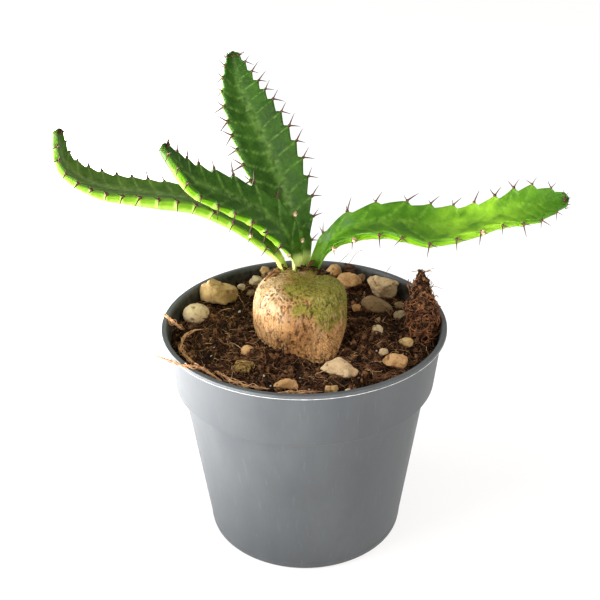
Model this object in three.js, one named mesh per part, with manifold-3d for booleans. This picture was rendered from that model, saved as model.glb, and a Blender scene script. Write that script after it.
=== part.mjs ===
// Potted euphorbia: a round nursery pot, its soil, a swollen caudex with four toothed stems,
// and the stones, peat and coir that lie on the soil.
// Millimetres, +Z up. The origin is the centre of the pot's underside, on the surface it stands on.
import * as THREE from 'three';
import { mergeVertices } from 'three/addons/utils/BufferGeometryUtils.js';
import Module from 'manifold-3d';

const wasm = await Module();
wasm.setup();

// ---------------------------------------------------------------- driving dimensions

const GAP = 0.35;                 // clearance between neighbouring pieces

const POT = {
  height: 86,
  rimRadius: 51.9,                // a 10.5 cm nursery pot
  lipWidth: 1.7,
  lipDepth: 1.4,
  collarTopRadius: 50.5,
  collarFootRadius: 48.2,
  collarFootZ: 64,                // the collar ends in a small step
  wallTopRadius: 45.5,
  wallTopZ: 63.3,
  stepInside: 0.9,                // the step's inner side lies this much higher than its outer
  footRadius: 37.2,
  footRound: 1.3,
  wall: 0.9,
  floor: 1.2,
  padRadius: 12.5,                // flat pad in the middle of the underside
  standInnerRadius: 32,           // inner edge of the ring that the pot stands on
  recess: 1.5,                    // how far the drained part of the floor is raised
  recessSlope: 0.9,
  drainRadius: 3.1,
  drainCircle: 22.5,
  drainCount: 8,
  segments: 48,
};

const SOIL = {
  top: 79.4,
  bottom: 3.1,
  frontRise: 0.7,                 // the soil stands a little higher in front
  collarMound: 1.6,               // and is drawn up round the caudex
  moundReach: 26,
  backRise: 1.6,                  // and against the wall behind
  ripple: 0.5,
  segments: 36,
};

const CAUDEX = {
  x: -1.6,
  y: -1.2,
  bottom: 34,
  segments: 32,
  profile: [                      // height, radius: tap root, waist at the soil, belly, flat dome
    [34, 1.2], [42, 4.2], [56, 9.0], [68, 13.2], [76, 14.9], [80, 15.3], [86, 16.5], [92, 16.8],
    [97, 15.7], [100, 13.6], [102.2, 10.4], [103.4, 6.8], [103.9, 3.2],
  ],
};

// Each stem follows points from the caudex to its tip. A point gives the place of the middle of
// the stem's hollow face, the direction across the face, half the width over the teeth, and the
// depth from the face to the keel.
const STEMS = {
  stem_upright: {
    gaps: [8.2, 3.2],
    points: [
      [[0.3, 11.7, 100], [1, 0.25, 0], 1.8, 3.8],
      [[-0.3, 10.7, 112.4], [1, 0.25, 0.1], 3.8, 5.2],
      [[-3, 10.5, 123], [1, 0.5, 0.14], 8.1, 6],
      [[-8.5, 14.5, 138], [1, 0.6, 0.18], 11.3, 6.2],
      [[-15, 19, 152.5], [1, 0.6, 0.18], 11.0, 5.8],
      [[-20.8, 22.5, 165], [1, 0.55, 0.18], 8.0, 5],
      [[-23.8, 26, 177], [1, 0.5, 0.15], 2.6, 3],
    ],
  },
  stem_left: {
    gaps: [8.4, 3.6],
    points: [
      [[-6.3, 7.6, 101.6], [0.3, 1, 0.1], 1.7, 3.5],
      [[-10.8, 5.4, 112.6], [0.2, 1, 0.1], 3.0, 4.2],
      [[-21, 4, 124.2], [0.1, 1, 0.05], 6.5, 5.4],
      [[-36, 5, 132.8], [0, 1, -0.02], 9, 6.8],
      [[-54, 5, 136], [0, 1, 0], 9.2, 6.8],
      [[-70, 5.5, 138.5], [0, 1, 0.06], 8.6, 6],
      [[-80.5, 6, 145], [0.08, 1, 0.06], 6.4, 4.8],
      [[-82.5, 7, 156], [0.2, 1, 0.05], 2.4, 3],
    ],
  },
  stem_front: {
    gaps: [10.6, 4.2],
    points: [
      [[-2.4, 6.6, 102.2], [0.5, 1, 0.2], 1.5, 3.1],
      [[-2.3, 3.6, 110.8], [0.9, 1, 0.3], 2.9, 4.8],
      [[-5.5, -1.8, 122.5], [0.45, 1, 0.6], 7, 6],
      [[-13.5, -5, 132.2], [0.15, 1, 0.52], 8.4, 6.4],
      [[-24, -9.7, 139.8], [0.06, 1, 0.45], 8.4, 6.2],
      [[-34, -15, 146.5], [0, 1, 0.42], 7.2, 5.6],
      [[-39, -18.5, 153.5], [-0.1, 1, 0.3], 5.2, 4.4],
      [[-43, -20.5, 159.5], [-0.1, 1, 0.25], 2.4, 3],
    ],
  },
  stem_right: {
    gaps: [11.2, 5.2],
    points: [
      [[3.3, 8.9, 101], [0.75, -0.8, -0.3], 1.6, 3.4],
      [[7.4, 7.2, 112.9], [0.6, -0.8, -0.4], 3.4, 5.0],
      [[16.4, 4.8, 121.4], [0.3, -1, -0.42], 6.6, 6],
      [[30, 4, 124.7], [0, -1, -0.42], 8.8, 6.6],
      [[44, 2.5, 122.8], [-0.05, -1, -0.5], 9.5, 6.4],
      [[56, 1, 124.4], [-0.05, -1, -0.4], 8.2, 6],
      [[67, 0, 128.2], [-0.1, -1, -0.5], 7.2, 5.4],
      [[79, -0.5, 131.2], [-0.05, -1, -0.78], 7.8, 4.8],
      [[90.8, 0.5, 132.2], [0, -1, -0.9], 2.8, 3.2],
    ],
  },
};
const FIRST_TOOTH = 0.145;        // place of the lowest tooth, as a part of the stem's length
const TOOTH_HEIGHT = 2.6;
const TOOTH_DROP = 0.16;          // part of a gap in which the margin falls behind a tooth
const ROUND_BASE = 13;            // length over which a stem turns from round to channelled

// Stones: name, centre, half sizes, turn about Z, tilt about the stone's own X, squareness, colour.
const STONES = [
  ['stone_block', [-33, 27.6, 83.3], [6.8, 5.4, 5.8], 12, -6, 0.62, 0xb39478],
  ['stone_egg', [-40.8, 12.4, 82.3], [5.0, 4.0, 3.6], 22, 8, 0.95, 0xc9b795],
  ['pebble_left_1', [-24.6, 35.4, 81.8], [1.7, 1.6, 1.5], 0, 0, 0.9, 0xc2ab8e],
  ['pebble_left_2', [-20.9, 32.0, 80.9], [2.0, 1.5, 1.2], 15, 0, 0.9, 0x8d7153],
  ['pebble_left_3', [-19.0, 39.8, 82.3], [2.8, 2.3, 2.2], -10, 0, 0.85, 0xb8a184],
  ['pebble_left_4', [-15.4, 44.4, 83.5], [2.3, 1.9, 2.8], 20, 0, 0.85, 0xad9272],
  ['pebble_back', [12.7, 44.0, 84.1], [3.1, 2.4, 3.0], 0, 0, 0.85, 0xb5946b],
  ['stone_tan', [17.8, 36.6, 83.1], [5.1, 3.5, 3.9], -8, 5, 0.8, 0xb58d66],
  ['pebble_right_1', [23.4, 41.0, 82.8], [1.6, 1.6, 2.4], 0, 0, 0.9, 0x9c8670],
  ['stone_pumice', [31.8, 30.2, 83.4], [6.8, 4.2, 5.3], -24, 6, 0.7, 0xb9ab98],
  ['stone_long', [28.3, 18.9, 81.9], [6.3, 3.3, 3.2], -26, 0, 0.9, 0x94805f],
  ['pebble_right_2', [36.9, 19.2, 81.2], [2.0, 1.6, 1.7], 0, 0, 0.85, 0x8a7f5c],
  ['pebble_right_3', [36.5, 12.4, 81.0], [2.5, 1.9, 1.9], 30, 0, 0.75, 0xc4b8a6],
  ['pebble_right_4', [27.7, 9.2, 80.4], [1.6, 1.4, 1.3], 0, 0, 0.85, 0x9a8468],
  ['pebble_right_5', [20.2, 17.6, 81.3], [1.9, 1.6, 1.5], 0, 0, 0.85, 0xb08d4e],
  ['stone_chip_right', [27.3, -0.4, 81.3], [2.7, 1.9, 2.3], 18, 0, 0.6, 0xc8bda9],
  ['pebble_right_6', [36.8, -8.8, 81.1], [2.3, 1.8, 1.8], -10, 0, 0.75, 0xb79b88],
  ['pebble_right_7', [28.0, -15.6, 81.1], [1.7, 1.4, 1.5], 0, 0, 0.8, 0x9d9281],
  ['stone_wedge_right', [31.2, -23.8, 81.9], [5.1, 3.4, 3.3], -35, 8, 0.65, 0xc49c74],
  ['stone_wedge_front', [12.0, -28.8, 82.0], [6.3, 3.9, 3.3], -6, -6, 0.62, 0xb5aa9a],
  ['stone_chip_front', [-6.0, -37.9, 81.5], [4.2, 2.1, 1.9], 14, 0, 0.6, 0xa9825a],
  ['pebble_front_1', [-20.3, -15.6, 81.8], [2.5, 2.3, 2.2], 0, 0, 0.95, 0xb39a5f],
  ['fibre_chip', [-21.3, -25.8, 81.4], [3.5, 2.2, 1.9], 25, 0, 0.6, 0xa48c52],
  ['pebble_front_2', [9.0, -40.2, 81.2], [2.5, 1.7, 1.6], 0, 0, 0.8, 0x9c7864],
  ['pebble_front_3', [14.3, -42.2, 81.2], [1.4, 1.2, 1.2], 0, 0, 0.8, 0xc4b49c],
];

// A clod of root fibre and peat leans on the wall at the right.
const CLOD = {
  foot: [43.6, -5.4, 77.6],
  head: [43.0, 8.6, 102],
  footRadius: 6.8,
  headRadius: 3.1,
  clearance: 0.6,
};

// Chips of bark and wood: name, centre, half sizes, turn about Z, tilt about X.
const CHIPS = [
  ['wood_strip', [-7.4, 43.2, 84.2], [3.4, 1.1, 2.1], 12, 0, 0x8f7a55],
  ['bark_chip_back', [18.8, 43.9, 85.0], [2.6, 1.1, 3.0], -18, 12, 0x3a2b20],
  ['bark_chip_left', [-41.6, 4.0, 81.2], [2.4, 1.1, 0.9], 60, 0, 0x7c4a30],
];

// Coir strands: name, radius, and the points that each one runs through.
const STRANDS = [
  ['coir_out_left', 0.45, [
    [-51, -28.5, 88.2], [-44.3, -32.6, 87.8], [-39.2, -34.8, 87.4], [-36, -34.4, 87.1],
    [-32.6, -34.8, 85.2], [-28.2, -37.2, 83],
  ]],
  ['coir_over_rim', 0.55, [
    [-51.4, 3.2, 87.3], [-48.6, -0.6, 86.8], [-45.9, -2.2, 85.2], [-44, -2.3, 83.6],
  ]],
  ['coir_loop_left', 0.4, [
    [-37.3, 0.9, 82], [-41.1, -1.6, 82.5], [-43.2, -6, 82.7], [-43.8, -11.1, 82.8],
    [-43.2, -16.4, 82.7], [-40.2, -22, 82.6], [-36.8, -26, 82.4],
  ]],
  ['coir_front_left', 0.45, [
    [-30.3, -29.7, 82.4], [-27.1, -33.8, 82.6], [-22.6, -37.8, 82.7], [-17.4, -40.6, 82.8],
    [-12.2, -42.2, 82.8],
  ]],
  ['coir_front', 0.45, [
    [-8.8, -44.3, 82.8], [-4, -44.9, 83.1], [0.4, -44.8, 83.1], [5.2, -43.9, 82.7],
  ]],
];
const STRAND_SIDES = 6;
const STRAND_STEP = 4;            // length of one straight piece of a strand

// ---------------------------------------------------------------- small helpers

const group = new THREE.Group();
const radians = THREE.MathUtils.degToRad;

function smoothstep(from, to, value) {
  return THREE.MathUtils.smoothstep(value, from, to);
}

// A closed geometry with only merged positions left.
function bare(geometry) {
  const copy = geometry.clone();
  copy.deleteAttribute('normal');
  copy.deleteAttribute('uv');
  return mergeVertices(copy, 1e-4);
}

function solid(geometry) {
  const merged = bare(geometry);
  const vertProperties = new Float32Array(merged.attributes.position.array);
  const triVerts = new Uint32Array(merged.index.array);
  return new wasm.Manifold(new wasm.Mesh({ numProp: 3, vertProperties, triVerts }));
}

function geometryOf(manifold) {
  const mesh = manifold.getMesh();
  const geometry = new THREE.BufferGeometry();
  geometry.setAttribute('position', new THREE.BufferAttribute(mesh.vertProperties, 3));
  geometry.setIndex(new THREE.BufferAttribute(mesh.triVerts, 1));
  return geometry;
}

function addPiece(name, geometry, color, roughness) {
  const material = new THREE.MeshStandardMaterial({ color, roughness, metalness: 0 });
  const mesh = new THREE.Mesh(geometry, material);
  mesh.name = name;
  group.add(mesh);
}

// A profile of [radius, height] pairs turned about Z.
function turned(profile, segments) {
  const points = profile.map(([radius, height]) => new THREE.Vector2(radius, height));
  return new THREE.LatheGeometry(points, segments).rotateX(Math.PI / 2);
}

// Moves every vertex by a function that changes the vector given to it.
function reshape(geometry, change) {
  const merged = bare(geometry);
  const position = merged.attributes.position;
  const point = new THREE.Vector3();
  for (let i = 0; i < position.count; i += 1) {
    point.fromBufferAttribute(position, i);
    change(point);
    position.setXYZ(i, point.x, point.y, point.z);
  }
  return merged;
}

// A smooth lumpiness between about -1 and 1, different for each phase.
function lumps(point, phase) {
  const first = Math.sin(point.x * 2.1 + phase) * Math.sin(point.y * 1.7 - 2 * phase);
  const second = Math.sin(point.z * 2.6 + 3 * phase) * Math.cos(point.x * 1.3 - point.y + phase);
  return 0.6 * first + 0.4 * second;
}

// ---------------------------------------------------------------- pot

function potInnerRadius(z) {
  const inner = potInnerProfile();
  for (let i = 1; i < inner.length; i += 1) {
    const [radiusAbove, zAbove] = inner[i - 1];
    const [radiusBelow, zBelow] = inner[i];
    if (z <= zAbove && z >= zBelow) {
      const share = (z - zBelow) / (zAbove - zBelow);
      return radiusBelow + share * (radiusAbove - radiusBelow);
    }
  }
  return POT.footRadius - POT.wall;
}

// The wall's inner side, from the lip down to the floor.
function potInnerProfile() {
  return [
    [POT.rimRadius - POT.lipWidth, POT.height],
    [POT.collarTopRadius - POT.wall, POT.height - POT.lipDepth],
    [POT.collarFootRadius - POT.wall, POT.collarFootZ + POT.stepInside],
    [POT.wallTopRadius - POT.wall, POT.wallTopZ + POT.stepInside / 2],
    [POT.footRadius - POT.wall, POT.footRound + POT.floor],
    [POT.footRadius - POT.footRound - 0.4, POT.floor],
  ];
}

function makePot() {
  const pad = POT.padRadius;
  const stand = POT.standInnerRadius;
  const slope = POT.recessSlope;
  const underside = [
    [0, 0],
    [pad, 0],
    [pad + slope, POT.recess],
    [stand - slope, POT.recess],
    [stand, 0],
    [POT.footRadius - POT.footRound, 0],
    [POT.footRadius, POT.footRound],
  ];
  const outside = [
    [POT.wallTopRadius, POT.wallTopZ],
    [POT.collarFootRadius, POT.collarFootZ],
    [POT.collarTopRadius, POT.height - POT.lipDepth],
    [POT.rimRadius, POT.height - POT.lipDepth],
    [POT.rimRadius, POT.height - 0.3],
    [POT.rimRadius - 0.3, POT.height],
  ];
  const floorTop = [
    [stand + 0.3, POT.floor],
    [stand - slope + 0.3, POT.recess + POT.floor],
    [pad + slope - 0.3, POT.recess + POT.floor],
    [pad - 0.3, POT.floor],
    [0, POT.floor],
  ];
  const profile = [...underside, ...outside, ...potInnerProfile(), ...floorTop];
  let pot = solid(turned(profile, POT.segments));
  for (let i = 0; i < POT.drainCount; i += 1) {
    const angle = (i + 0.5) / POT.drainCount * 2 * Math.PI;
    const drain = new THREE.CylinderGeometry(POT.drainRadius, POT.drainRadius, 3 * POT.floor, 12);
    drain.rotateX(Math.PI / 2);
    drain.translate(
      POT.drainCircle * Math.cos(angle),
      POT.drainCircle * Math.sin(angle),
      POT.recess + POT.floor / 2,
    );
    pot = pot.subtract(solid(drain));
  }
  addPiece('pot', geometryOf(pot), 0x9a9c9e, 0.45);
}

// ---------------------------------------------------------------- caudex

// The bulge of the caudex: a soft swell round it, flatter behind, and one root lobe in front.
function caudexSwell(angle, z) {
  const oval = 1 + 0.025 * Math.cos(2 * angle + 0.5) + 0.018 * Math.sin(3 * angle + 0.08 * z);
  const lobeTurn = Math.cos(angle - radians(-64));
  const lobe = 0.26 * Math.max(0, lobeTurn) ** 6 * smoothstep(92, 79, z) * smoothstep(50, 74, z);
  return oval + lobe;
}

function caudexGeometry(extra) {
  const profile = CAUDEX.profile.map(([z, radius]) => [radius + extra, z + extra * 0.5]);
  profile[0][1] = CAUDEX.bottom - extra;
  const closed = [[0, CAUDEX.bottom - extra], ...profile, [0, 104.1 + extra]];
  return reshape(turned(closed, CAUDEX.segments), (point) => {
    const angle = Math.atan2(point.y, point.x);
    const swell = caudexSwell(angle, point.z);
    point.x = CAUDEX.x + point.x * swell;
    point.y = CAUDEX.y + point.y * swell;
  });
}

// ---------------------------------------------------------------- stems

// The stem's centre line with a width, depth and across vector at any place on it.
function readStem(stem) {
  const places = stem.points.map(([place]) => new THREE.Vector3(...place));
  const first = places[0].clone().multiplyScalar(2).sub(places[1]);
  const last = places.at(-1).clone().multiplyScalar(2).sub(places.at(-2));
  const centre = new THREE.CatmullRomCurve3([first, ...places, last], false, 'catmullrom', 0.5);
  const spans = stem.points.length - 1;
  const at = (share) => (1 + share * spans) / (spans + 2);
  const length = arcLengths(centre, at);
  return { centre, at, spans, length, points: stem.points };
}

const ARC_STEPS = 240;

function arcLengths(centre, at) {
  const lengths = [0];
  let before = centre.getPoint(at(0));
  for (let i = 1; i <= ARC_STEPS; i += 1) {
    const here = centre.getPoint(at(i / ARC_STEPS));
    lengths.push(lengths.at(-1) + here.distanceTo(before));
    before = here;
  }
  return lengths;
}

function shareAtLength(stem, distance) {
  const lengths = stem.length;
  let i = 1;
  while (i < ARC_STEPS && lengths[i] < distance) {
    i += 1;
  }
  const part = (distance - lengths[i - 1]) / (lengths[i] - lengths[i - 1]);
  return (i - 1 + THREE.MathUtils.clamp(part, 0, 1)) / ARC_STEPS;
}

// A smooth run of one value through the stem's points.
function between(values, share) {
  const spot = share * (values.length - 1);
  const i = Math.min(Math.floor(spot), values.length - 2);
  const part = spot - i;
  const before = i > 0 ? values[i - 1] : 2 * values[0] - values[1];
  const from = values[i];
  const to = values[i + 1];
  const after = i + 2 < values.length ? values[i + 2] : 2 * values.at(-1) - values.at(-2);
  const curve = 2 * before - 5 * from + 4 * to - after;
  const twist = 3 * from - before - 3 * to + after;
  return 0.5 * (2 * from + (to - before) * part + curve * part ** 2 + twist * part ** 3);
}

// Places of the teeth, closer and closer towards the tip.
function toothPlaces(length, gaps) {
  const [gapAtBase, gapAtTip] = gaps;
  const places = [length * FIRST_TOOTH];
  for (;;) {
    const here = places.at(-1);
    const gap = gapAtBase + (gapAtTip - gapAtBase) * (here / length) ** 1.3;
    if (here + gap > length - 1.2) {
      return places;
    }
    places.push(here + gap);
  }
}

// How far the margin stands out at a place: 1 on a tooth, 0 in the notch behind it.
function toothShape(distance, places) {
  if (distance <= places[0]) {
    const rise = smoothstep(0, places[0], distance);
    return rise ** 1.8;
  }
  let i = 0;
  while (i < places.length - 1 && places[i + 1] <= distance + 1e-6) {
    i += 1;
  }
  const next = i < places.length - 1 ? places[i + 1] : places[i] * 2 - places[i - 1];
  const part = (distance - places[i]) / (next - places[i]);
  if (part < TOOTH_DROP) {
    return 1 - part / TOOTH_DROP;
  }
  return ((part - TOOTH_DROP) / (1 - TOOTH_DROP)) ** 1.8;
}

// The stem's section, going round from one margin over the hollow face to the other margin and
// back under the keel. Each row: place across, height as a share of the depth, angle when round.
const SECTION = [
  [-1, 0, 180],
  [-0.62, -0.1, 135],
  [0, -0.24, 90],
  [0.62, -0.1, 45],
  [1, 0, 0],
  [0.92, -0.44, -34],
  [0.54, -0.82, -64],
  [0, -1, -90],
  [-0.54, -0.82, -116],
  [-0.92, -0.44, -146],
];

function stemStations(length, places) {
  const stations = [0, places[0] * 0.45, places[0] * 0.75];
  places.forEach((place, i) => {
    const next = i < places.length - 1 ? places[i + 1] : length;
    const gap = next - place;
    stations.push(place, place + gap * TOOTH_DROP, place + gap * 0.5, place + gap * 0.8);
  });
  stations.push(length);
  return stations;
}

function stemGeometry(name) {
  const stem = readStem(STEMS[name]);
  const length = stem.length.at(-1);
  const places = toothPlaces(length, STEMS[name].gaps);
  const vertices = [];
  const triangles = [];
  const stations = stemStations(length, places);
  const sides = SECTION.length;
  const endRing = (stations.length - 1) * sides;
  for (const distance of stations) {
    vertices.push(...stemRing(stem, distance, places));
  }
  for (let ring = 0; ring < stations.length - 1; ring += 1) {
    for (let side = 0; side < sides; side += 1) {
      const here = ring * sides + side;
      const beside = ring * sides + (side + 1) % sides;
      triangles.push(here, beside, here + sides, beside, beside + sides, here + sides);
    }
  }
  const share = stem.at(1);
  const tip = stem.centre.getPoint(share).addScaledVector(stem.centre.getTangent(share), 1.2);
  const foot = stem.centre.getPoint(stem.at(0));
  vertices.push(foot, tip);
  for (let side = 0; side < sides; side += 1) {
    const beside = (side + 1) % sides;
    triangles.push(vertices.length - 2, beside, side);
    triangles.push(vertices.length - 1, endRing + side, endRing + beside);
  }
  const geometry = new THREE.BufferGeometry().setFromPoints(vertices);
  geometry.setIndex(triangles);
  return geometry;
}

function stemRing(stem, distance, places) {
  const share = shareAtLength(stem, distance);
  const middle = stem.centre.getPoint(stem.at(share));
  const along = stem.centre.getTangent(stem.at(share));
  const read = (pick) => between(stem.points.map(pick), share);
  const across = new THREE.Vector3(
    read((point) => point[1][0]),
    read((point) => point[1][1]),
    read((point) => point[1][2]),
  );
  across.addScaledVector(along, -across.dot(along)).normalize();
  const up = across.clone().cross(along);
  const halfWidth = read((point) => point[2]);
  const depth = read((point) => point[3]);
  const channelled = smoothstep(1, ROUND_BASE, distance);
  const toothSize = Math.min(TOOTH_HEIGHT, 0.34 * halfWidth);
  const notch = toothSize * (1 - toothShape(distance, places));
  return SECTION.map(([place, height, angle]) => {
    const outer = Math.max(0, (Math.abs(place) - 0.5) / 0.5);
    const flatX = place * halfWidth - Math.sign(place) * notch * outer;
    const flatY = height * depth;
    const roundX = halfWidth * Math.cos(radians(angle));
    const roundY = 0.5 * depth * Math.sin(radians(angle));
    const x = THREE.MathUtils.lerp(roundX, flatX, channelled);
    const y = THREE.MathUtils.lerp(roundY, flatY, channelled);
    return middle.clone().addScaledVector(across, x).addScaledVector(up, y);
  });
}

// The hole that a stem's base sits in.
function stemSocket(name) {
  const stem = readStem(STEMS[name]);
  const [, , halfWidth, depth] = STEMS[name].points[0];
  const radius = Math.max(halfWidth, depth / 2) + GAP + 0.1;
  const along = stem.centre.getTangent(stem.at(0));
  const socket = new THREE.CylinderGeometry(radius, radius, 8, 16);
  socket.translate(0, 4 - GAP, 0);
  const turn = new THREE.Quaternion().setFromUnitVectors(new THREE.Vector3(0, 1, 0), along);
  socket.applyQuaternion(turn);
  socket.translate(...stem.centre.getPoint(stem.at(0)).toArray());
  return socket;
}

// ---------------------------------------------------------------- stones, chips and clod

// A pebble: a ball pulled towards a box by its squareness and roughened by a few lumps.
function pebbleGeometry(centre, halfSizes, turn, tilt, squareness, phase, extra) {
  const ball = new THREE.IcosahedronGeometry(1, 1);
  const sizes = new THREE.Vector3(...halfSizes).addScalar(extra);
  return reshape(ball, (point) => {
    const lump = 1 + 0.07 * lumps(point, phase);
    const sign = new THREE.Vector3(Math.sign(point.x), Math.sign(point.y), Math.sign(point.z));
    point.set(Math.abs(point.x), Math.abs(point.y), Math.abs(point.z));
    point.set(point.x ** squareness, point.y ** squareness, point.z ** squareness);
    point.normalize().multiply(sign);
    const reach = 1 + 0.16 * (1 - squareness);
    point.multiplyScalar(lump * reach).multiply(sizes);
    point.applyEuler(new THREE.Euler(radians(tilt), 0, 0));
    point.applyEuler(new THREE.Euler(0, 0, radians(turn)));
    point.add(new THREE.Vector3(...centre));
  });
}

function clodGeometry(extra) {
  const foot = new THREE.Vector3(...CLOD.foot);
  const head = new THREE.Vector3(...CLOD.head);
  const ball = new THREE.IcosahedronGeometry(1, 2);
  return reshape(ball, (point) => {
    const share = (point.z + 1) / 2;
    const radius = THREE.MathUtils.lerp(CLOD.footRadius, CLOD.headRadius, share) + extra;
    const lump = 1 + 0.09 * lumps(point.clone().multiplyScalar(2), 1.3);
    const spread = new THREE.Vector3(point.x, point.y, 0).multiplyScalar(radius * lump);
    const ends = extra * point.z;
    point.lerpVectors(foot, head, share).add(spread);
    point.z += ends;
    const wallReach = potInnerRadius(Math.min(point.z, POT.height)) - 2 * GAP + extra;
    const reach = Math.hypot(point.x, point.y);
    if (reach > wallReach) {
      point.x *= wallReach / reach;
      point.y *= wallReach / reach;
    }
  });
}

function chipGeometry(centre, halfSizes, turn, tilt, extra) {
  const chip = new THREE.SphereGeometry(1, 8, 5);
  chip.scale(...halfSizes.map((size) => size + extra));
  chip.rotateX(radians(tilt));
  chip.rotateZ(radians(turn));
  chip.translate(...centre);
  return chip;
}

function strandGeometry(radius, points) {
  const curve = new THREE.CatmullRomCurve3(points.map((point) => new THREE.Vector3(...point)));
  const outline = new THREE.Shape();
  for (let side = 0; side < STRAND_SIDES; side += 1) {
    const angle = side / STRAND_SIDES * 2 * Math.PI;
    const x = radius * Math.cos(angle);
    const y = radius * Math.sin(angle);
    if (side === 0) {
      outline.moveTo(x, y);
    } else {
      outline.lineTo(x, y);
    }
  }
  outline.closePath();
  const steps = Math.ceil(curve.getLength() / STRAND_STEP);
  return new THREE.ExtrudeGeometry(outline, { steps, extrudePath: curve, bevelEnabled: false });
}

// ---------------------------------------------------------------- soil

function soilSurface(x, y) {
  const fromCaudex = Math.hypot(x - CAUDEX.x, y - CAUDEX.y);
  const mound = SOIL.collarMound * smoothstep(SOIL.moundReach, 14, fromCaudex);
  const front = SOIL.frontRise * smoothstep(10, -40, y);
  const back = SOIL.backRise * smoothstep(22, 46, y);
  const wave = Math.sin(0.31 * x + 1.1) * Math.cos(0.27 * y) + 0.6 * Math.sin(0.52 * y - 0.4 * x);
  return SOIL.top + mound + front + back + SOIL.ripple * wave;
}

function soilGeometry() {
  const edge = (z) => potInnerRadius(z) - GAP - 0.15;
  const wallFoot = POT.footRound + POT.floor + 1.2;
  const top = [1, 0.86, 0.72, 0.58, 0.44, 0.3, 0.15].map((share) => [share * edge(SOIL.top - 1), SOIL.top]);
  const profile = [
    [0, SOIL.bottom],
    [edge(wallFoot) - 1.4, SOIL.bottom],
    [edge(wallFoot) - 0.4, wallFoot],
    [edge(POT.wallTopZ), POT.wallTopZ + POT.stepInside],
    [edge(POT.collarFootZ + 2 * POT.stepInside), POT.collarFootZ + 2.2 * POT.stepInside],
    ...top,
    [0, SOIL.top],
  ];
  return reshape(turned(profile, SOIL.segments), (point) => {
    if (point.z > SOIL.top - 0.01) {
      point.z = soilSurface(point.x, point.y);
    }
  });
}

// ---------------------------------------------------------------- the whole plant

makePot();

let soil = solid(soilGeometry()).subtract(solid(caudexGeometry(GAP)));
let caudex = solid(caudexGeometry(0));

for (const name of Object.keys(STEMS)) {
  caudex = caudex.subtract(solid(stemSocket(name)));
  addPiece(name, stemGeometry(name), 0x4f7a35, 0.5);
}
addPiece('caudex', geometryOf(caudex), 0xcdae7c, 0.8);

STONES.forEach(([name, centre, halfSizes, turn, tilt, squareness, color], phase) => {
  const stone = pebbleGeometry(centre, halfSizes, turn, tilt, squareness, phase, 0);
  const hollow = pebbleGeometry(centre, halfSizes, turn, tilt, squareness, phase, GAP);
  soil = soil.subtract(solid(hollow));
  addPiece(name, stone, color, 0.85);
});

for (const [name, centre, halfSizes, turn, tilt, color] of CHIPS) {
  soil = soil.subtract(solid(chipGeometry(centre, halfSizes, turn, tilt, GAP)));
  addPiece(name, chipGeometry(centre, halfSizes, turn, tilt, 0), color, 0.9);
}

soil = soil.subtract(solid(clodGeometry(CLOD.clearance)));
addPiece('root_clod', clodGeometry(0), 0x4b3426, 0.95);

for (const [name, radius, points] of STRANDS) {
  addPiece(name, strandGeometry(radius, points), 0xb07a4c, 0.8);
}

addPiece('soil', geometryOf(soil), 0x3b2a20, 0.95);

export default group;
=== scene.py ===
# %% [markdown]
# # A potted euphorbia
# A young caudex euphorbia in a plain nursery pot. The fixed frame gives every piece its place and
# size; this script makes each piece again with its fine shape and finish.

import math

import bmesh
import bpy
import numpy as np
from mathutils import Matrix, Vector, noise


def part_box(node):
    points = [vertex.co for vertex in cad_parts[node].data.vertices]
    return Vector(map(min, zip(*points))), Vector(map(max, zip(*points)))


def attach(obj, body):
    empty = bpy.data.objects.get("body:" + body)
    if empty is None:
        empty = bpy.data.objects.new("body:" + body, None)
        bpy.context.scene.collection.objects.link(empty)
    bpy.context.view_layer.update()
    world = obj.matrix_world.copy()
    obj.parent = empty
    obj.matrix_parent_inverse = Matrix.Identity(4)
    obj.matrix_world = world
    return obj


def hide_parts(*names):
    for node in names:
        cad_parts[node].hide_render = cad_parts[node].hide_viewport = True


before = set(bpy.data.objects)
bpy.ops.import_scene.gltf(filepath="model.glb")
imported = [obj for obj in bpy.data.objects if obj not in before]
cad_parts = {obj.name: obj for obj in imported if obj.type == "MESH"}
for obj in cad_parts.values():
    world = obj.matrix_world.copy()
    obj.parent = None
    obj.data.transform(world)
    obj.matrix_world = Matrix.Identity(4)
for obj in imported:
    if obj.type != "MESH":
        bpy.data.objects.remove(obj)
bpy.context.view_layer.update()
nodes = sorted(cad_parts)
print("frame nodes:", len(nodes))

# %% [markdown]
# Lengths below are written in millimetres, as a gardener would measure them, and every mesh is
# scaled to metres once, when it is made. The pot's own box gives the height and radius of the rim.

# %% Units and the pot's main sizes
MM = 0.001
pot_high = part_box("pot")[1]
RIM_RADIUS = pot_high.x / MM
POT_HEIGHT = pot_high.z / MM
SOIL_BELOW_RIM = 6.6
SOIL_TOP = POT_HEIGHT - SOIL_BELOW_RIM
print("rim radius", round(RIM_RADIUS, 2), "height", round(POT_HEIGHT, 2))

# %% [markdown]
# Small helpers come first: one turns arrays into a mesh object, one hangs a finished piece on the
# root and hides the frame nodes it stands for, and one adds a node to a tree with its inputs already
# filled.


# %% Helpers for meshes
def ease(low, high, value):
    """0 below low, 1 above high and a smooth rise between, for numbers or arrays."""
    share = np.clip((value - low) / (high - low), 0.0, 1.0)
    return share * share * (3.0 - 2.0 * share)


def make_piece(name, points, faces, attributes=None):
    """A smooth mesh object from points in millimetres and a list of faces."""
    mesh = bpy.data.meshes.new(name)
    mesh.from_pydata((np.asarray(points) * MM).tolist(), [], faces)
    for label, values in (attributes or {}).items():
        layer = mesh.attributes.new(label, "FLOAT", "POINT")
        layer.data.foreach_set("value", np.asarray(values, np.float32))
    mesh.polygons.foreach_set("use_smooth", [True] * len(mesh.polygons))
    piece = bpy.data.objects.new(name, mesh)
    bpy.context.scene.collection.objects.link(piece)
    return piece


def register(piece, slot, *stands_for):
    """Hangs the piece on the root body and hides the frame nodes it stands for; slot is not used."""
    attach(piece, "root")
    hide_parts(*stands_for)
    print(piece.name, "faces", len(piece.data.polygons))


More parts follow.
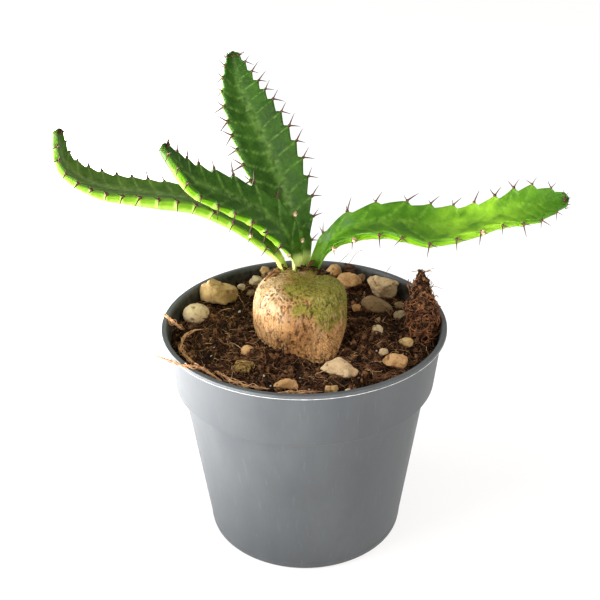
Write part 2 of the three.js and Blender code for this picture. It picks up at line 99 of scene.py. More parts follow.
def ring_faces(rows, columns):
    """Quads that join rows of points, each row closed on itself."""
    faces = []
    for row in range(rows - 1):
        for column in range(columns):
            here = row * columns + column
            beside = row * columns + (column + 1) % columns
            faces.append((here, beside, beside + columns, here + columns))
    return faces


def ring_normals(grid):
    """Outward directions of a grid of points whose rows are closed rings."""
    around = np.roll(grid, -1, axis=1) - np.roll(grid, 1, axis=1)
    along = np.gradient(grid, axis=0)
    normals = np.cross(around, along)
    size = np.linalg.norm(normals, axis=2, keepdims=True)
    return normals / np.maximum(size, 1e-9)


def lumpy(points, size, octaves=3, shift=0.0, stretch=(1, 1, 1)):
    """Smooth noise, about -1 to 1, at each point; size is the width of one lump."""
    spots = np.asarray(points).reshape(-1, 3) / (np.array(stretch) * size) + shift
    return np.array([noise.fractal(Vector(spot), 1.0, 2.0, octaves) for spot in spots])


def cells(points, size, shift=0.0, stretch=(1, 1, 1)):
    """Distances to the nearest and second nearest of scattered centres, in cell widths."""
    spots = np.asarray(points).reshape(-1, 3) / (np.array(stretch) * size) + shift
    found = [noise.voronoi(Vector(spot))[0][:2] for spot in spots]
    return np.array(found)


def through(values, share):
    """A smooth run through rows of values; share goes from 0 at the first to 1 at the last."""
    rows = np.asarray(values, float)
    if rows.ndim == 1:
        rows = rows[:, None]
    spot = np.clip(np.atleast_1d(share), 0, 1) * (len(rows) - 1)
    start = np.minimum(spot.astype(int), len(rows) - 2)
    part = (spot - start)[:, None]
    padded = np.vstack([2 * rows[0] - rows[1], rows, 2 * rows[-1] - rows[-2]])
    before, here, there, after = (padded[start + step] for step in range(4))
    bend = 2 * before - 5 * here + 4 * there - after
    twist = 3 * here - before - 3 * there + after
    return 0.5 * (2 * here + (there - before) * part + bend * part**2 + twist * part**3)


def ball_points(detail):
    """Points and faces of an even ball of triangles."""
    work = bmesh.new()
    bmesh.ops.create_icosphere(work, subdivisions=detail, radius=1.0)
    points = np.array([vertex.co for vertex in work.verts])
    faces = [tuple(vertex.index for vertex in face.verts) for face in work.faces]
    work.free()
    return points, faces


def join_shapes(shapes):
    """Several sets of points and faces as one."""
    all_points, all_faces, count = [], [], 0
    for points, faces in shapes:
        all_points.append(points)
        all_faces += [tuple(index + count for index in face) for face in faces]
        count += len(points)
    return np.vstack(all_points), all_faces


# %% Helpers for nodes
def node(tree, kind, inputs=None, **settings):
    """Adds a node, sets its properties, and fills or links its inputs."""
    made = tree.nodes.new(kind)
    for key, value in settings.items():
        setattr(made, key, value)
    for key, value in (inputs or {}).items():
        if isinstance(value, bpy.types.NodeSocket):
            tree.links.new(value, made.inputs[key])
        else:
            made.inputs[key].default_value = value
    return made


def new_group(name, kind, sockets_in, sockets_out):
    """A node group with named inputs and outputs; each input is (name, socket type, default)."""
    tree = bpy.data.node_groups.new(name, kind)
    for label, socket_type, default in sockets_in:
        socket = tree.interface.new_socket(label, in_out="INPUT", socket_type=socket_type)
        if default is not None:
            socket.default_value = default
    for label, socket_type in sockets_out:
        tree.interface.new_socket(label, in_out="OUTPUT", socket_type=socket_type)
    return tree, tree.nodes.new("NodeGroupInput"), tree.nodes.new("NodeGroupOutput")


def grow(host, tree, name, values):
    """Runs a Geometry Nodes tree on a host object and keeps the result as a plain mesh."""
    modifier = host.modifiers.new(tree.name, "NODES")
    modifier.node_group = tree
    for item in tree.interface.items_tree:
        if item.item_type == "SOCKET" and item.in_out == "INPUT" and item.name in values:
            modifier[item.identifier] = values[item.name]
    depsgraph = bpy.context.evaluated_depsgraph_get()
    mesh = bpy.data.meshes.new_from_object(host.evaluated_get(depsgraph))
    host.modifiers.remove(modifier)
    mesh.name = name
    mesh.polygons.foreach_set("use_smooth", [True] * len(mesh.polygons))
    piece = bpy.data.objects.new(name, mesh)
    bpy.context.scene.collection.objects.link(piece)
    return piece


FLOAT = "NodeSocketFloat"
INT = "NodeSocketInt"
VECTOR = "NodeSocketVector"
GEOMETRY = "NodeSocketGeometry"
MATERIAL = "NodeSocketMaterial"

# %% [markdown]
# Almost every finish here is patches of one colour over another: moss on bark, dust on plastic,
# veins on a stem. Two shader groups make such masks, one from soft noise and one from the edges
# between cells, both sized in millimetres on the object's own coordinates.

# %% Shader groups for patches and cracks
group_inputs = [
    ("Size", FLOAT, 1.0),
    ("Stretch", VECTOR, (1, 1, 1)),
    ("Low", FLOAT, 0.4),
    ("High", FLOAT, 0.6),
    ("Seed", FLOAT, 0.0),
]


def sized_coordinates(tree, entry):
    """Object coordinates counted in pattern sizes, stretched along the chosen axes."""
    where = node(tree, "ShaderNodeTexCoord").outputs["Object"]
    metres = node(tree, "ShaderNodeMath", {0: entry.outputs["Size"], 1: MM}, operation="MULTIPLY")
    step = node(tree, "ShaderNodeVectorMath",
                {0: entry.outputs["Stretch"], "Scale": metres.outputs[0]}, operation="SCALE")
    spot = node(tree, "ShaderNodeVectorMath", {0: where, 1: step.outputs[0]}, operation="DIVIDE")
    shift = node(tree, "ShaderNodeVectorMath", {0: spot.outputs[0], 1: entry.outputs["Seed"]},
                 operation="ADD")
    return shift.outputs[0]


def ranged(tree, entry, value):
    """The value spread so that Low becomes 0 and High becomes 1."""
    spread = node(tree, "ShaderNodeMapRange", {
        "Value": value, "From Min": entry.outputs["Low"], "From Max": entry.outputs["High"],
    })
    return spread.outputs[0]


patches_group, entry, exit_ = new_group(
    "patches", "ShaderNodeTree", group_inputs, [("Mask", FLOAT)])
soft = node(patches_group, "ShaderNodeTexNoise", {
    "Vector": sized_coordinates(patches_group, entry), "Scale": 1.0, "Detail": 4.0,
    "Roughness": 0.55,
})
patches_group.links.new(ranged(patches_group, entry, soft.outputs[0]), exit_.inputs["Mask"])

cracks_group, entry, exit_ = new_group(
    "cracks", "ShaderNodeTree", group_inputs, [("Mask", FLOAT)])
straight = sized_coordinates(cracks_group, entry)
waver = node(cracks_group, "ShaderNodeTexNoise", {"Vector": straight, "Scale": 1.4, "Detail": 2.0})
wandering = node(cracks_group, "ShaderNodeVectorMath",
                 {0: straight, 1: waver.outputs["Color"]}, operation="ADD")
edges = node(cracks_group, "ShaderNodeTexVoronoi", {
    "Vector": wandering.outputs[0], "Scale": 1.0,
}, feature="DISTANCE_TO_EDGE")
crack_mask = ranged(cracks_group, entry, edges.outputs["Distance"])
cracks_group.links.new(crack_mask, exit_.inputs["Mask"])
print("shader groups:", patches_group.name, cracks_group.name)


# %% Helpers for materials
def tint(red, green, blue):
    """A colour given as on a paint card, 0 to 255, in the linear values that shaders take."""
    parts = [value / 255 for value in (red, green, blue)]
    linear = [p / 12.92 if p <= 0.04045 else ((p + 0.055) / 1.055) ** 2.4 for p in parts]
    return (*linear, 1.0)


def new_material(name, roughness, **constants):
    """A material with one Principled shader; constants are set on the shader's own sockets."""
    material = bpy.data.materials.new(name)
    material.use_nodes = True
    tree = material.node_tree
    shader = tree.nodes["Principled BSDF"]
    shader.inputs["Roughness"].default_value = roughness
    for label, value in constants.items():
        shader.inputs[label.replace("_", " ")].default_value = value
    print("finish:", name)
    return material, tree, shader


def mask(tree, group, size, low, high, stretch=(1, 1, 1), seed=0.0):
    """A mask from one of the shader groups."""
    placed = node(tree, "ShaderNodeGroup", node_tree=group)
    values = {"Size": size, "Low": low, "High": high, "Stretch": stretch, "Seed": seed}
    for label, value in values.items():
        placed.inputs[label].default_value = value
    return placed.outputs["Mask"]


def blend(tree, under, over, factor):
    """One colour laid over another where the factor is 1."""
    made = node(tree, "ShaderNodeMix", data_type="RGBA", clamp_factor=True)
    for index, value in ((0, factor), (6, under), (7, over)):
        if isinstance(value, bpy.types.NodeSocket):
            tree.links.new(value, made.inputs[index])
        else:
            made.inputs[index].default_value = value
    return made.outputs[2]


def times(tree, first, second):
    """The product of two masks, or of a mask and a number, kept between 0 and 1."""
    return node(tree, "ShaderNodeMath", {0: first, 1: second}, operation="MULTIPLY",
                use_clamp=True).outputs[0]


def opposite(tree, value):
    """1 where the mask is 0 and 0 where it is 1."""
    return node(tree, "ShaderNodeMath", {0: 1.0, 1: value}, operation="SUBTRACT",
                use_clamp=True).outputs[0]


def reading(tree, name):
    """A number stored on the piece's points."""
    return node(tree, "ShaderNodeAttribute", attribute_name=name).outputs["Fac"]


def spread(tree, value, low, high):
    """The value with low turned to 0 and high to 1."""
    return node(tree, "ShaderNodeMapRange", {"Value": value, "From Min": low, "From Max": high},
                interpolation_type="SMOOTHSTEP").outputs[0]


def bumps(tree, shader, heights):
    """Chains bump nodes from (height, distance in mm, strength) rows into the shader."""
    before = None
    for height, distance, strength in heights:
        inputs = {"Height": height, "Distance": distance * MM, "Strength": strength}
        if before is not None:
            inputs["Normal"] = before
        before = node(tree, "ShaderNodeBump", inputs).outputs["Normal"]
    tree.links.new(before, shader.inputs["Normal"])


def paint(tree, shader, color, roughness=None):
    """Links the finished colour, and the roughness if it varies, to the shader."""
    tree.links.new(color, shader.inputs["Base Color"])
    if roughness is not None:
        tree.links.new(roughness, shader.inputs["Roughness"])


def two_tone(name, roughness, size, low, high, first, second, **constants):
    """A finish of two close colours that meet in soft patches."""
    material, tree, shader = new_material(name, roughness, **constants)
    color = blend(tree, first, second, mask(tree, patches_group, size, low, high))
    paint(tree, shader, color)
    return material, tree, shader, color


def ridged(name, roughness, size, low, high, stretch, dark, light):
    """A finish of dark grooves and light ridges, as torn bark, wood and coir have."""
    material, tree, shader = new_material(name, roughness)
    ridges = mask(tree, patches_group, size, low, high, stretch)
    paint(tree, shader, blend(tree, dark, light, ridges))
    bumps(tree, shader, [(ridges, 0.3, 0.8)])
    return material


# %% [markdown]
# ## The pot
# A nursery pot is blown or moulded from thin grey polypropylene: a turned shape with a flat lip, a
# collar that stiffens the top, and a floor with a flat pad, a raised ring with drain holes and a
# ring to stand on. Because the shape follows one rule, a profile turned about an axis, Geometry
# Nodes make it: a profile line is rounded at its corners, swept round a circle, and the drain
# holes are cut with a ring of cylinders.

# %% The pot's profile
LIP_WIDTH = 1.7
LIP_DEPTH = 1.4
DRAIN_RADIUS = 3.1
DRAIN_CIRCLE = 22.5
pot_profile = [
    (0, 0), (12.5, 0), (13.4, 1.5), (31.1, 1.5), (32, 0), (35.9, 0), (37.2, 1.3),
    (37.55, 3.3), (37.45, 3.6),
    (45.5, 63.2), (48.2, 63.9), (50.5, POT_HEIGHT - LIP_DEPTH),
    (RIM_RADIUS, POT_HEIGHT - LIP_DEPTH), (RIM_RADIUS, POT_HEIGHT),
    (RIM_RADIUS - LIP_WIDTH, POT_HEIGHT), (49.6, POT_HEIGHT - LIP_DEPTH), (47.3, 64.9),
    (44.6, 63.75), (36.3, 2.5), (35.5, 1.2), (32.3, 1.2), (31.4, 2.7), (13.1, 2.7), (12.2, 1.2),
    (0, 1.2),
]
AXIS_RING = 10.0
CORNER_STEPS = 3
DRILL_SIDES = 32
DRILL_DEPTH = 9
print("profile corners:", len(pot_profile))

# %% Geometry Nodes: a turned pot
turned, entry, exit_ = new_group("turned_pot", "GeometryNodeTree", [
    ("Geometry", GEOMETRY, None),
    ("Axis ring radius", FLOAT, AXIS_RING * MM),
    ("Segments", INT, 180),
    ("Corner radius", FLOAT, 0.28 * MM),
    ("Drain radius", FLOAT, DRAIN_RADIUS * MM),
    ("Drain circle", FLOAT, DRAIN_CIRCLE * MM),
    ("Drain count", INT, 8),
    ("Material", MATERIAL, None),
], [("Geometry", GEOMETRY)])
line = node(turned, "GeometryNodeMeshToCurve", {"Mesh": entry.outputs["Geometry"]})
rounded = node(turned, "GeometryNodeFilletCurve", {
    "Curve": line.outputs[0], "Radius": entry.outputs["Corner radius"], "Count": CORNER_STEPS,
    "Limit Radius": True,
}, mode="POLY")
rail = node(turned, "GeometryNodeCurvePrimitiveCircle", {
    "Resolution": entry.outputs["Segments"], "Radius": entry.outputs["Axis ring radius"],
})
level = node(turned, "GeometryNodeSetCurveNormal", {"Curve": rail.outputs[0]}, mode="Z_UP")
swept = node(turned, "GeometryNodeCurveToMesh", {
    "Curve": level.outputs[0], "Profile Curve": rounded.outputs[0],
})
closed = node(turned, "GeometryNodeMergeByDistance", {
    "Geometry": swept.outputs[0], "Distance": 0.005 * MM,
})
ring = node(turned, "GeometryNodeCurvePrimitiveCircle", {
    "Resolution": entry.outputs["Drain count"], "Radius": entry.outputs["Drain circle"],
})
drill = node(turned, "GeometryNodeMeshCylinder", {
    "Vertices": DRILL_SIDES, "Radius": entry.outputs["Drain radius"], "Depth": DRILL_DEPTH * MM,
})
drills = node(turned, "GeometryNodeInstanceOnPoints", {
    "Points": ring.outputs[0], "Instance": drill.outputs["Mesh"],
})
bodies = node(turned, "GeometryNodeRealizeInstances", {"Geometry": drills.outputs[0]})
cut = node(turned, "GeometryNodeMeshBoolean", {
    "Mesh 1": closed.outputs[0], "Mesh 2": bodies.outputs[0],
}, operation="DIFFERENCE")
flat = node(turned, "GeometryNodeRealizeInstances", {"Geometry": cut.outputs[0]})
finish = node(turned, "GeometryNodeSetMaterial", {
    "Geometry": flat.outputs[0], "Material": entry.outputs["Material"],
})
turned.links.new(finish.outputs[0], exit_.inputs["Geometry"])
print("tree:", turned.name, len(turned.nodes), "nodes")

# %% [markdown]
# The plastic is matte and faintly translucent, with dust, handling marks and a few specks of soil.
# Inside, the wall is painted darker, partly a stain of damp soil and partly painted shade; a stored
# number says which points lie inside.

# %% Pot plastic
pot_material, tree, shader = new_material("pot_plastic", 0.45, Specular_IOR_Level=0.35)
cloud = mask(tree, patches_group, 14, 0.35, 0.7, (1, 1, 2.4))
color = blend(tree, tint(83, 86, 89), tint(93, 96, 98), cloud)
smudge = mask(tree, patches_group, 5, 0.52, 0.78, (1, 1, 1.6), 4.0)
color = blend(tree, color, tint(84, 82, 79), times(tree, smudge, 0.35))
streak = mask(tree, patches_group, 1.2, 0.60, 0.74, (1, 1, 30), 9.0)
color = blend(tree, color, tint(114, 115, 115), times(tree, streak, 0.25))
speck = mask(tree, patches_group, 0.5, 0.7, 0.73, (1, 1, 1), 2.0)
color = blend(tree, color, tint(112, 106, 98), times(tree, speck, 0.6))
# Inside the pot the wall is painted darker: partly a soil stain, partly painted shade.
stain_and_shade_patches = mask(tree, patches_group, 2.5, 0.3, 0.62, (1, 1, 1), 6.0)
inside = reading(tree, "inside")
soil_stain_and_shade = blend(tree, tint(88, 86, 81), tint(52, 47, 42), stain_and_shade_patches)
color = blend(tree, color, soil_stain_and_shade, inside)
paint(tree, shader, color, node(tree, "ShaderNodeMapRange", {
    "Value": cloud, "To Min": 0.4, "To Max": 0.54}).outputs[0])
grain = mask(tree, patches_group, 0.35, 0.2, 0.8, (1, 1, 1), 3.0)
bumps(tree, shader, [(grain, 0.03, 0.35), (cloud, 0.15, 0.25)])

# %% Turn the pot
profile_points = [((radius - AXIS_RING) * MM, -height * MM, 0) for radius, height in pot_profile]
profile_edges = [(i, i + 1) for i in range(len(pot_profile) - 1)]
host_mesh = bpy.data.meshes.new("pot_profile")
host_mesh.from_pydata(profile_points, profile_edges, [])
host = bpy.data.objects.new("pot_profile", host_mesh)
bpy.context.scene.collection.objects.link(host)
pot = grow(host, turned, "pot_shell", {"Material": pot_material})
bpy.data.objects.remove(host)


def set_outward(piece):
    """Points every face of a closed mesh outwards."""
    work = bmesh.new()
    work.from_mesh(piece.data)
    bmesh.ops.recalc_face_normals(work, faces=work.faces)
    work.to_mesh(piece.data)
    work.free()


INSIDE_BELOW_RIM = 0.8
INSIDE_ABOVE_FOOT = 1.0
UPWARD = 0.5
set_outward(pot)
spots = np.array([vertex.co for vertex in pot.data.vertices]) / MM
facing = np.array([vertex.normal for vertex in pot.data.vertices])
inward = (facing[:, :2] * spots[:, :2]).sum(axis=1) < 0
inner = inward | (facing[:, 2] > UPWARD)
inner &= spots[:, 2] < POT_HEIGHT - INSIDE_BELOW_RIM
inner &= spots[:, 2] > INSIDE_ABOVE_FOOT
layer = pot.data.attributes.new("inside", "FLOAT", "POINT")
layer.data.foreach_set("value", inner.astype(np.float32))
print("pot box", spots.min(0).round(2), spots.max(0).round(2))
register(pot, "pot_plastic", "pot")

# %% [markdown]
# The lip's lower edge carries moulding flash, a hair-thin ragged skin of plastic that catches the
# light. It is a ring of uneven thickness, so a tube with a noisy radius is enough.


# %% Helper: a tube of changing thickness
def tube(points, radii, sides=8, closed=False, flat=1.0):
    """Points and faces of a tube that follows a line; flat below 1 makes it a ribbon."""
    points = np.asarray(points, float)
    count = len(points)
    ahead = np.roll(points, -1, axis=0) - np.roll(points, 1, axis=0)
    if not closed:
        ahead[0] = points[1] - points[0]
        ahead[-1] = points[-1] - points[-2]
    ahead /= np.maximum(np.linalg.norm(ahead, axis=1, keepdims=True), 1e-9)
    side = np.cross(ahead, (0.13, 0.21, 1.0))
    side /= np.maximum(np.linalg.norm(side, axis=1, keepdims=True), 1e-9)
    up = np.cross(side, ahead)
    angles = np.arange(sides) / sides * 2 * math.pi
    circle = (np.cos(angles)[None, :, None] * side[:, None, :]
              + flat * np.sin(angles)[None, :, None] * up[:, None, :])
    grid = points[:, None, :] + circle * np.broadcast_to(radii, count)[:, None, None]
    faces = [face[::-1] for face in ring_faces(count, sides)]
    if closed:
        last = (count - 1) * sides
        for column in range(sides):
            beside = (column + 1) % sides
            faces.append((last + beside, last + column, column, beside))
    else:
        faces.append(tuple(range(sides)))
        faces.append(tuple(range((count - 1) * sides, count * sides))[::-1])
    return grid.reshape(-1, 3), faces


# %% Moulding flash on the lip
FLASH_POINTS = 720
FLASH_RADIUS = 0.1
FLASH_RAGGED = 0.07
FLASH_LUMP = 0.035
FLASH_TUCK = 0.02
FLASH_RISE = 0.12
flash_material = two_tone("pot_flash", 0.35, 1.5, 0.35, 0.65,
                          tint(205, 206, 204), tint(236, 236, 232))[0]
turns = np.linspace(0, 2 * math.pi, FLASH_POINTS, endpoint=False)
flash_line = np.stack([np.cos(turns), np.sin(turns), 0 * turns], axis=1)
ragged = lumpy(flash_line, FLASH_LUMP, 3, 7.0)
flash_points = flash_line * (RIM_RADIUS - FLASH_TUCK)
flash_points[:, 2] = POT_HEIGHT - LIP_DEPTH + FLASH_RISE + FLASH_RAGGED * ragged
flash_radii = FLASH_RADIUS + FLASH_RAGGED * np.clip(ragged, -1, 1)
flash = make_piece("lip_flash", *tube(flash_points, flash_radii, 6, True))
flash.data.materials.append(flash_material)
register(flash, "pot_plastic", "pot")

# %% [markdown]
# ## Growing small things on a surface
# Crumbs of peat, moss, perlite and grit are hundreds of small lumps on a surface. One Geometry
# Nodes tree scatters them: points on the faces, a rough ball on each point, turned and sized at
# random, then pushed about by noise so that no two are alike.

# %% Geometry Nodes: scattered lumps
FULL_TURN = 6.28
SMALL_BIAS = 2.2
WOBBLE_SIZE = 0.8
SQUARE_CM_IN_SQUARE_METRE = 10000.0
lumps_tree, entry, exit_ = new_group("scattered_lumps", "GeometryNodeTree", [
    ("Geometry", GEOMETRY, None),
    ("Per square cm", FLOAT, 10.0),
    ("Smallest", FLOAT, 0.3 * MM),
    ("Largest", FLOAT, 1.0 * MM),
    ("Flatness", FLOAT, 0.7),
    ("Ruggedness", FLOAT, 0.5),
    ("Ball detail", INT, 1),
    ("Sink", FLOAT, 0.0),
    ("Seed", INT, 1),
    ("Material", MATERIAL, None),
], [("Geometry", GEOMETRY)])


def cover_of(tree):
    """How thickly a surface is covered at each point, a number stored on it."""
    return node(tree, "GeometryNodeInputNamedAttribute", {"Name": "cover"},
                data_type="FLOAT").outputs[0]


def random_number(tree, low, high, seed, salt):
    """A random number for each point, with a seed of its own."""
    own = node(tree, "ShaderNodeMath", {0: seed, 1: float(salt)}, operation="ADD")
    return node(tree, "FunctionNodeRandomValue", {2: low, 3: high, "Seed": own.outputs[0]},
                data_type="FLOAT").outputs[1]


def scatter_points(tree, entry):
    """Points on the host's faces, as thick as its cover and the density say."""
    per_metre = node(tree, "ShaderNodeMath", {
        0: entry.outputs["Per square cm"], 1: SQUARE_CM_IN_SQUARE_METRE}, operation="MULTIPLY")
    density = node(tree, "ShaderNodeMath", {0: per_metre.outputs[0], 1: cover_of(tree)},
                   operation="MULTIPLY")
    return node(tree, "GeometryNodeDistributePointsOnFaces", {
        "Mesh": entry.outputs["Geometry"], "Density": density.outputs[0],
        "Seed": entry.outputs["Seed"],
    })


seed = entry.outputs["Seed"]
points = scatter_points(lumps_tree, entry)
ball = node(lumps_tree, "GeometryNodeMeshIcoSphere", {
    "Radius": 1.0, "Subdivisions": entry.outputs["Ball detail"],
})
turn = node(lumps_tree, "ShaderNodeCombineXYZ", {
    axis: random_number(lumps_tree, 0.0, FULL_TURN, seed, salt)
    for salt, axis in enumerate("XYZ", 11)
})
size = random_number(lumps_tree, 0.0, 1.0, seed, 21)
small_first = node(lumps_tree, "ShaderNodeMath", {0: size, 1: SMALL_BIAS}, operation="POWER")
size = node(lumps_tree, "ShaderNodeMapRange", {
    "Value": small_first.outputs[0],
    "To Min": entry.outputs["Smallest"], "To Max": entry.outputs["Largest"],
}).outputs[0]
thin = node(lumps_tree, "ShaderNodeMath", {0: size, 1: entry.outputs["Flatness"]},
            operation="MULTIPLY")
scale = node(lumps_tree, "ShaderNodeCombineXYZ", {"X": size, "Y": size, "Z": thin.outputs[0]})
down = node(lumps_tree, "ShaderNodeVectorMath", {
    0: points.outputs["Normal"], "Scale": entry.outputs["Sink"]}, operation="SCALE")
sunk = node(lumps_tree, "GeometryNodeSetPosition", {
    "Geometry": points.outputs["Points"], "Offset": down.outputs[0]})
rotation = node(lumps_tree, "FunctionNodeEulerToRotation", {0: turn.outputs[0]})
placed = node(lumps_tree, "GeometryNodeInstanceOnPoints", {
    "Points": sunk.outputs[0], "Instance": ball.outputs["Mesh"],
    "Rotation": rotation.outputs[0], "Scale": scale.outputs[0],
})
real = node(lumps_tree, "GeometryNodeRealizeInstances", {"Geometry": placed.outputs[0]})
wobble = node(lumps_tree, "ShaderNodeTexNoise", {
    "Vector": node(lumps_tree, "GeometryNodeInputPosition").outputs[0],
    "Scale": 1 / (WOBBLE_SIZE * MM), "Detail": 2.0,
})
centred = node(lumps_tree, "ShaderNodeVectorMath", {
    0: wobble.outputs["Color"], 1: (0.5, 0.5, 0.5)}, operation="SUBTRACT")
amount = node(lumps_tree, "ShaderNodeMath", {
    0: entry.outputs["Ruggedness"], 1: entry.outputs["Largest"]}, operation="MULTIPLY")
push = node(lumps_tree, "ShaderNodeVectorMath", {
    0: centred.outputs[0], "Scale": amount.outputs[0]}, operation="SCALE")
moved = node(lumps_tree, "GeometryNodeSetPosition", {
    "Geometry": real.outputs[0], "Offset": push.outputs[0]})
finish = node(lumps_tree, "GeometryNodeSetMaterial", {
    "Geometry": moved.outputs[0], "Material": entry.outputs["Material"]})
lumps_tree.links.new(finish.outputs[0], exit_.inputs["Geometry"])
print("tree:", lumps_tree.name, len(lumps_tree.nodes), "nodes")

# %% [markdown]
# Peat and coir are full of fibres. A second tree scatters short bent fibres over a surface, lets
# them lift a little, and curls them with slow noise after they are in place.

# %% Geometry Nodes: scattered fibres
HAIR_STEPS = 8
HAIR_SIDES = 4
MOST_ROLL = 0.8
CURL_SWING = 4.0
fibres_tree, entry, exit_ = new_group("scattered_fibres", "GeometryNodeTree", [
    ("Geometry", GEOMETRY, None),
    ("Per square cm", FLOAT, 5.0),
    ("Shortest", FLOAT, 2.0 * MM),
    ("Longest", FLOAT, 7.0 * MM),
    ("Slimness", FLOAT, 0.02),
    ("Bow", FLOAT, 0.2),
    ("Lift", FLOAT, 0.3),
    ("Curl", FLOAT, 1.0 * MM),
    ("Curl size", FLOAT, 3.0 * MM),
    ("Seed", INT, 1),
    ("Material", MATERIAL, None),
], [("Geometry", GEOMETRY)])
seed = entry.outputs["Seed"]
points = scatter_points(fibres_tree, entry)
bow = node(fibres_tree, "ShaderNodeCombineXYZ", {"X": 0.0, "Z": entry.outputs["Bow"]})
arc = node(fibres_tree, "GeometryNodeCurveQuadraticBezier", {
    "Resolution": HAIR_STEPS, "Start": (-0.5, 0, 0), "Middle": bow.outputs[0], "End": (0.5, 0, 0),
})
hair = node(fibres_tree, "GeometryNodeCurvePrimitiveCircle", {
    "Resolution": HAIR_SIDES, "Radius": entry.outputs["Slimness"]})
strand = node(fibres_tree, "GeometryNodeCurveToMesh", {
    "Curve": arc.outputs[0], "Profile Curve": hair.outputs[0], "Fill Caps": True})
tilt = node(fibres_tree, "ShaderNodeMath", {
    0: random_number(fibres_tree, -1.0, 1.0, seed, 33), 1: entry.outputs["Lift"]},
    operation="MULTIPLY")
spin = node(fibres_tree, "ShaderNodeCombineXYZ", {
    "X": random_number(fibres_tree, -MOST_ROLL, MOST_ROLL, seed, 31),
    "Y": tilt.outputs[0],
    "Z": random_number(fibres_tree, 0.0, FULL_TURN, seed, 32),
})
lean = node(fibres_tree, "FunctionNodeEulerToRotation", {0: spin.outputs[0]})
pose = node(fibres_tree, "FunctionNodeRotateRotation", {
    "Rotation": points.outputs["Rotation"], "Rotate By": lean.outputs[0]}, rotation_space="LOCAL")
long = node(fibres_tree, "ShaderNodeMapRange", {
    "Value": random_number(fibres_tree, 0.0, 1.0, seed, 34),
    "To Min": entry.outputs["Shortest"], "To Max": entry.outputs["Longest"]})
placed = node(fibres_tree, "GeometryNodeInstanceOnPoints", {
    "Points": points.outputs["Points"], "Instance": strand.outputs[0],
    "Rotation": pose.outputs[0], "Scale": long.outputs[0],
})
real = node(fibres_tree, "GeometryNodeRealizeInstances", {"Geometry": placed.outputs[0]})
where = node(fibres_tree, "GeometryNodeInputPosition").outputs[0]
step = node(fibres_tree, "ShaderNodeCombineXYZ", {
    axis: entry.outputs["Curl size"] for axis in "XYZ"})
sized = node(fibres_tree, "ShaderNodeVectorMath", {0: where, 1: step.outputs[0]},
             operation="DIVIDE")
wave = node(fibres_tree, "ShaderNodeTexNoise", {
    "Vector": sized.outputs[0], "Scale": 1.0, "Detail": 1.0})
centred = node(fibres_tree, "ShaderNodeVectorMath", {
    0: wave.outputs["Color"], 1: (0.5, 0.5, 0.42)}, operation="SUBTRACT")
swing = node(fibres_tree, "ShaderNodeMath", {0: entry.outputs["Curl"], 1: CURL_SWING},
             operation="MULTIPLY")
push = node(fibres_tree, "ShaderNodeVectorMath", {
    0: centred.outputs[0], "Scale": swing.outputs[0]}, operation="SCALE")
moved = node(fibres_tree, "GeometryNodeSetPosition", {
    "Geometry": real.outputs[0], "Offset": push.outputs[0]})
finish = node(fibres_tree, "GeometryNodeSetMaterial", {
    "Geometry": moved.outputs[0], "Material": entry.outputs["Material"]})
fibres_tree.links.new(finish.outputs[0], exit_.inputs["Geometry"])
print("tree:", fibres_tree.name, len(fibres_tree.nodes), "nodes")

# %% [markdown]
# ## The soil
# Peat mix is dark, crumbly and never flat. Its body is one closed mesh: a dense top that follows
# the frame's gentle mounds, with clods of several sizes pressed into it, a side that follows the
# pot's wall and a plain bottom that shows through the drain holes.

# %% Soil surface
CAUDEX_X = -1.6
CAUDEX_Y = -1.2
MOUND_RISE = 1.6
FRONT_RISE = 0.7
BACK_RISE = 1.6
WAVE_RISE = 0.5
WALL_HEIGHTS = [1.2, 2.5, 63.75, 64.9, 84.6]
WALL_RADII = [35.5, 36.3, 44.6, 47.3, 49.6]


def soil_height(x, y):
    """Height of the soil before its clods, over the pot's underside."""
    from_caudex = np.hypot(x - CAUDEX_X, y - CAUDEX_Y)
    mound = MOUND_RISE * ease(-26, -14, -from_caudex)
    front = FRONT_RISE * ease(-10, 40, -y)
    back = BACK_RISE * ease(22, 46, y)
    wave = np.sin(0.31 * x + 1.1) * np.cos(0.27 * y) + 0.6 * np.sin(0.52 * y - 0.4 * x)
    return SOIL_TOP + mound + front + back + WAVE_RISE * wave


def wall_radius(z):
    """Inner radius of the pot's wall at a height."""
    return np.interp(z, WALL_HEIGHTS, WALL_RADII)


# %% Soil grid
TOP_RINGS = 120
AROUND = 240
TOP_GAP = 0.12
SIDE_GAP = 0.15
SIDE_HEIGHTS = (2.95, 30, 63.7, 65.9, 76.5)
FOOT_TAPER = 0.985
soil_radius = wall_radius(SOIL_TOP) - TOP_GAP
turns = np.arange(AROUND) / AROUND * 2 * math.pi
shares = np.linspace(0.012, 1, TOP_RINGS)[::-1]
x = np.outer(shares * soil_radius, np.cos(turns))
y = np.outer(shares * soil_radius, np.sin(turns))
flat_points = np.stack([x, y, 0 * x], axis=2)
z = soil_height(x, y)
# Broad lumps, clods and grains of the dense top.
z += 1.5 * lumpy(flat_points, 7.5, 3).reshape(z.shape)
z += 2.1 * np.abs(lumpy(flat_points, 2.8, 3, 5.0)).reshape(z.shape) - 0.4
z += 0.45 * lumpy(flat_points, 0.9, 2, 9.0).reshape(z.shape)
# A low heap in front on the left, a dip at the caudex's toe, and a settled strip before it.
left_front = np.exp(-((x + 15) ** 2 + (y + 14) ** 2) / 60)
toe_front = np.exp(-((x - 7) ** 2 + (y + 20) ** 2) / 50)
z += 2.2 * left_front - 1.7 * toe_front
z -= 1.0 * ease(-24, -15, -np.hypot(x - CAUDEX_X, y - CAUDEX_Y)) * ease(4, -4, y)
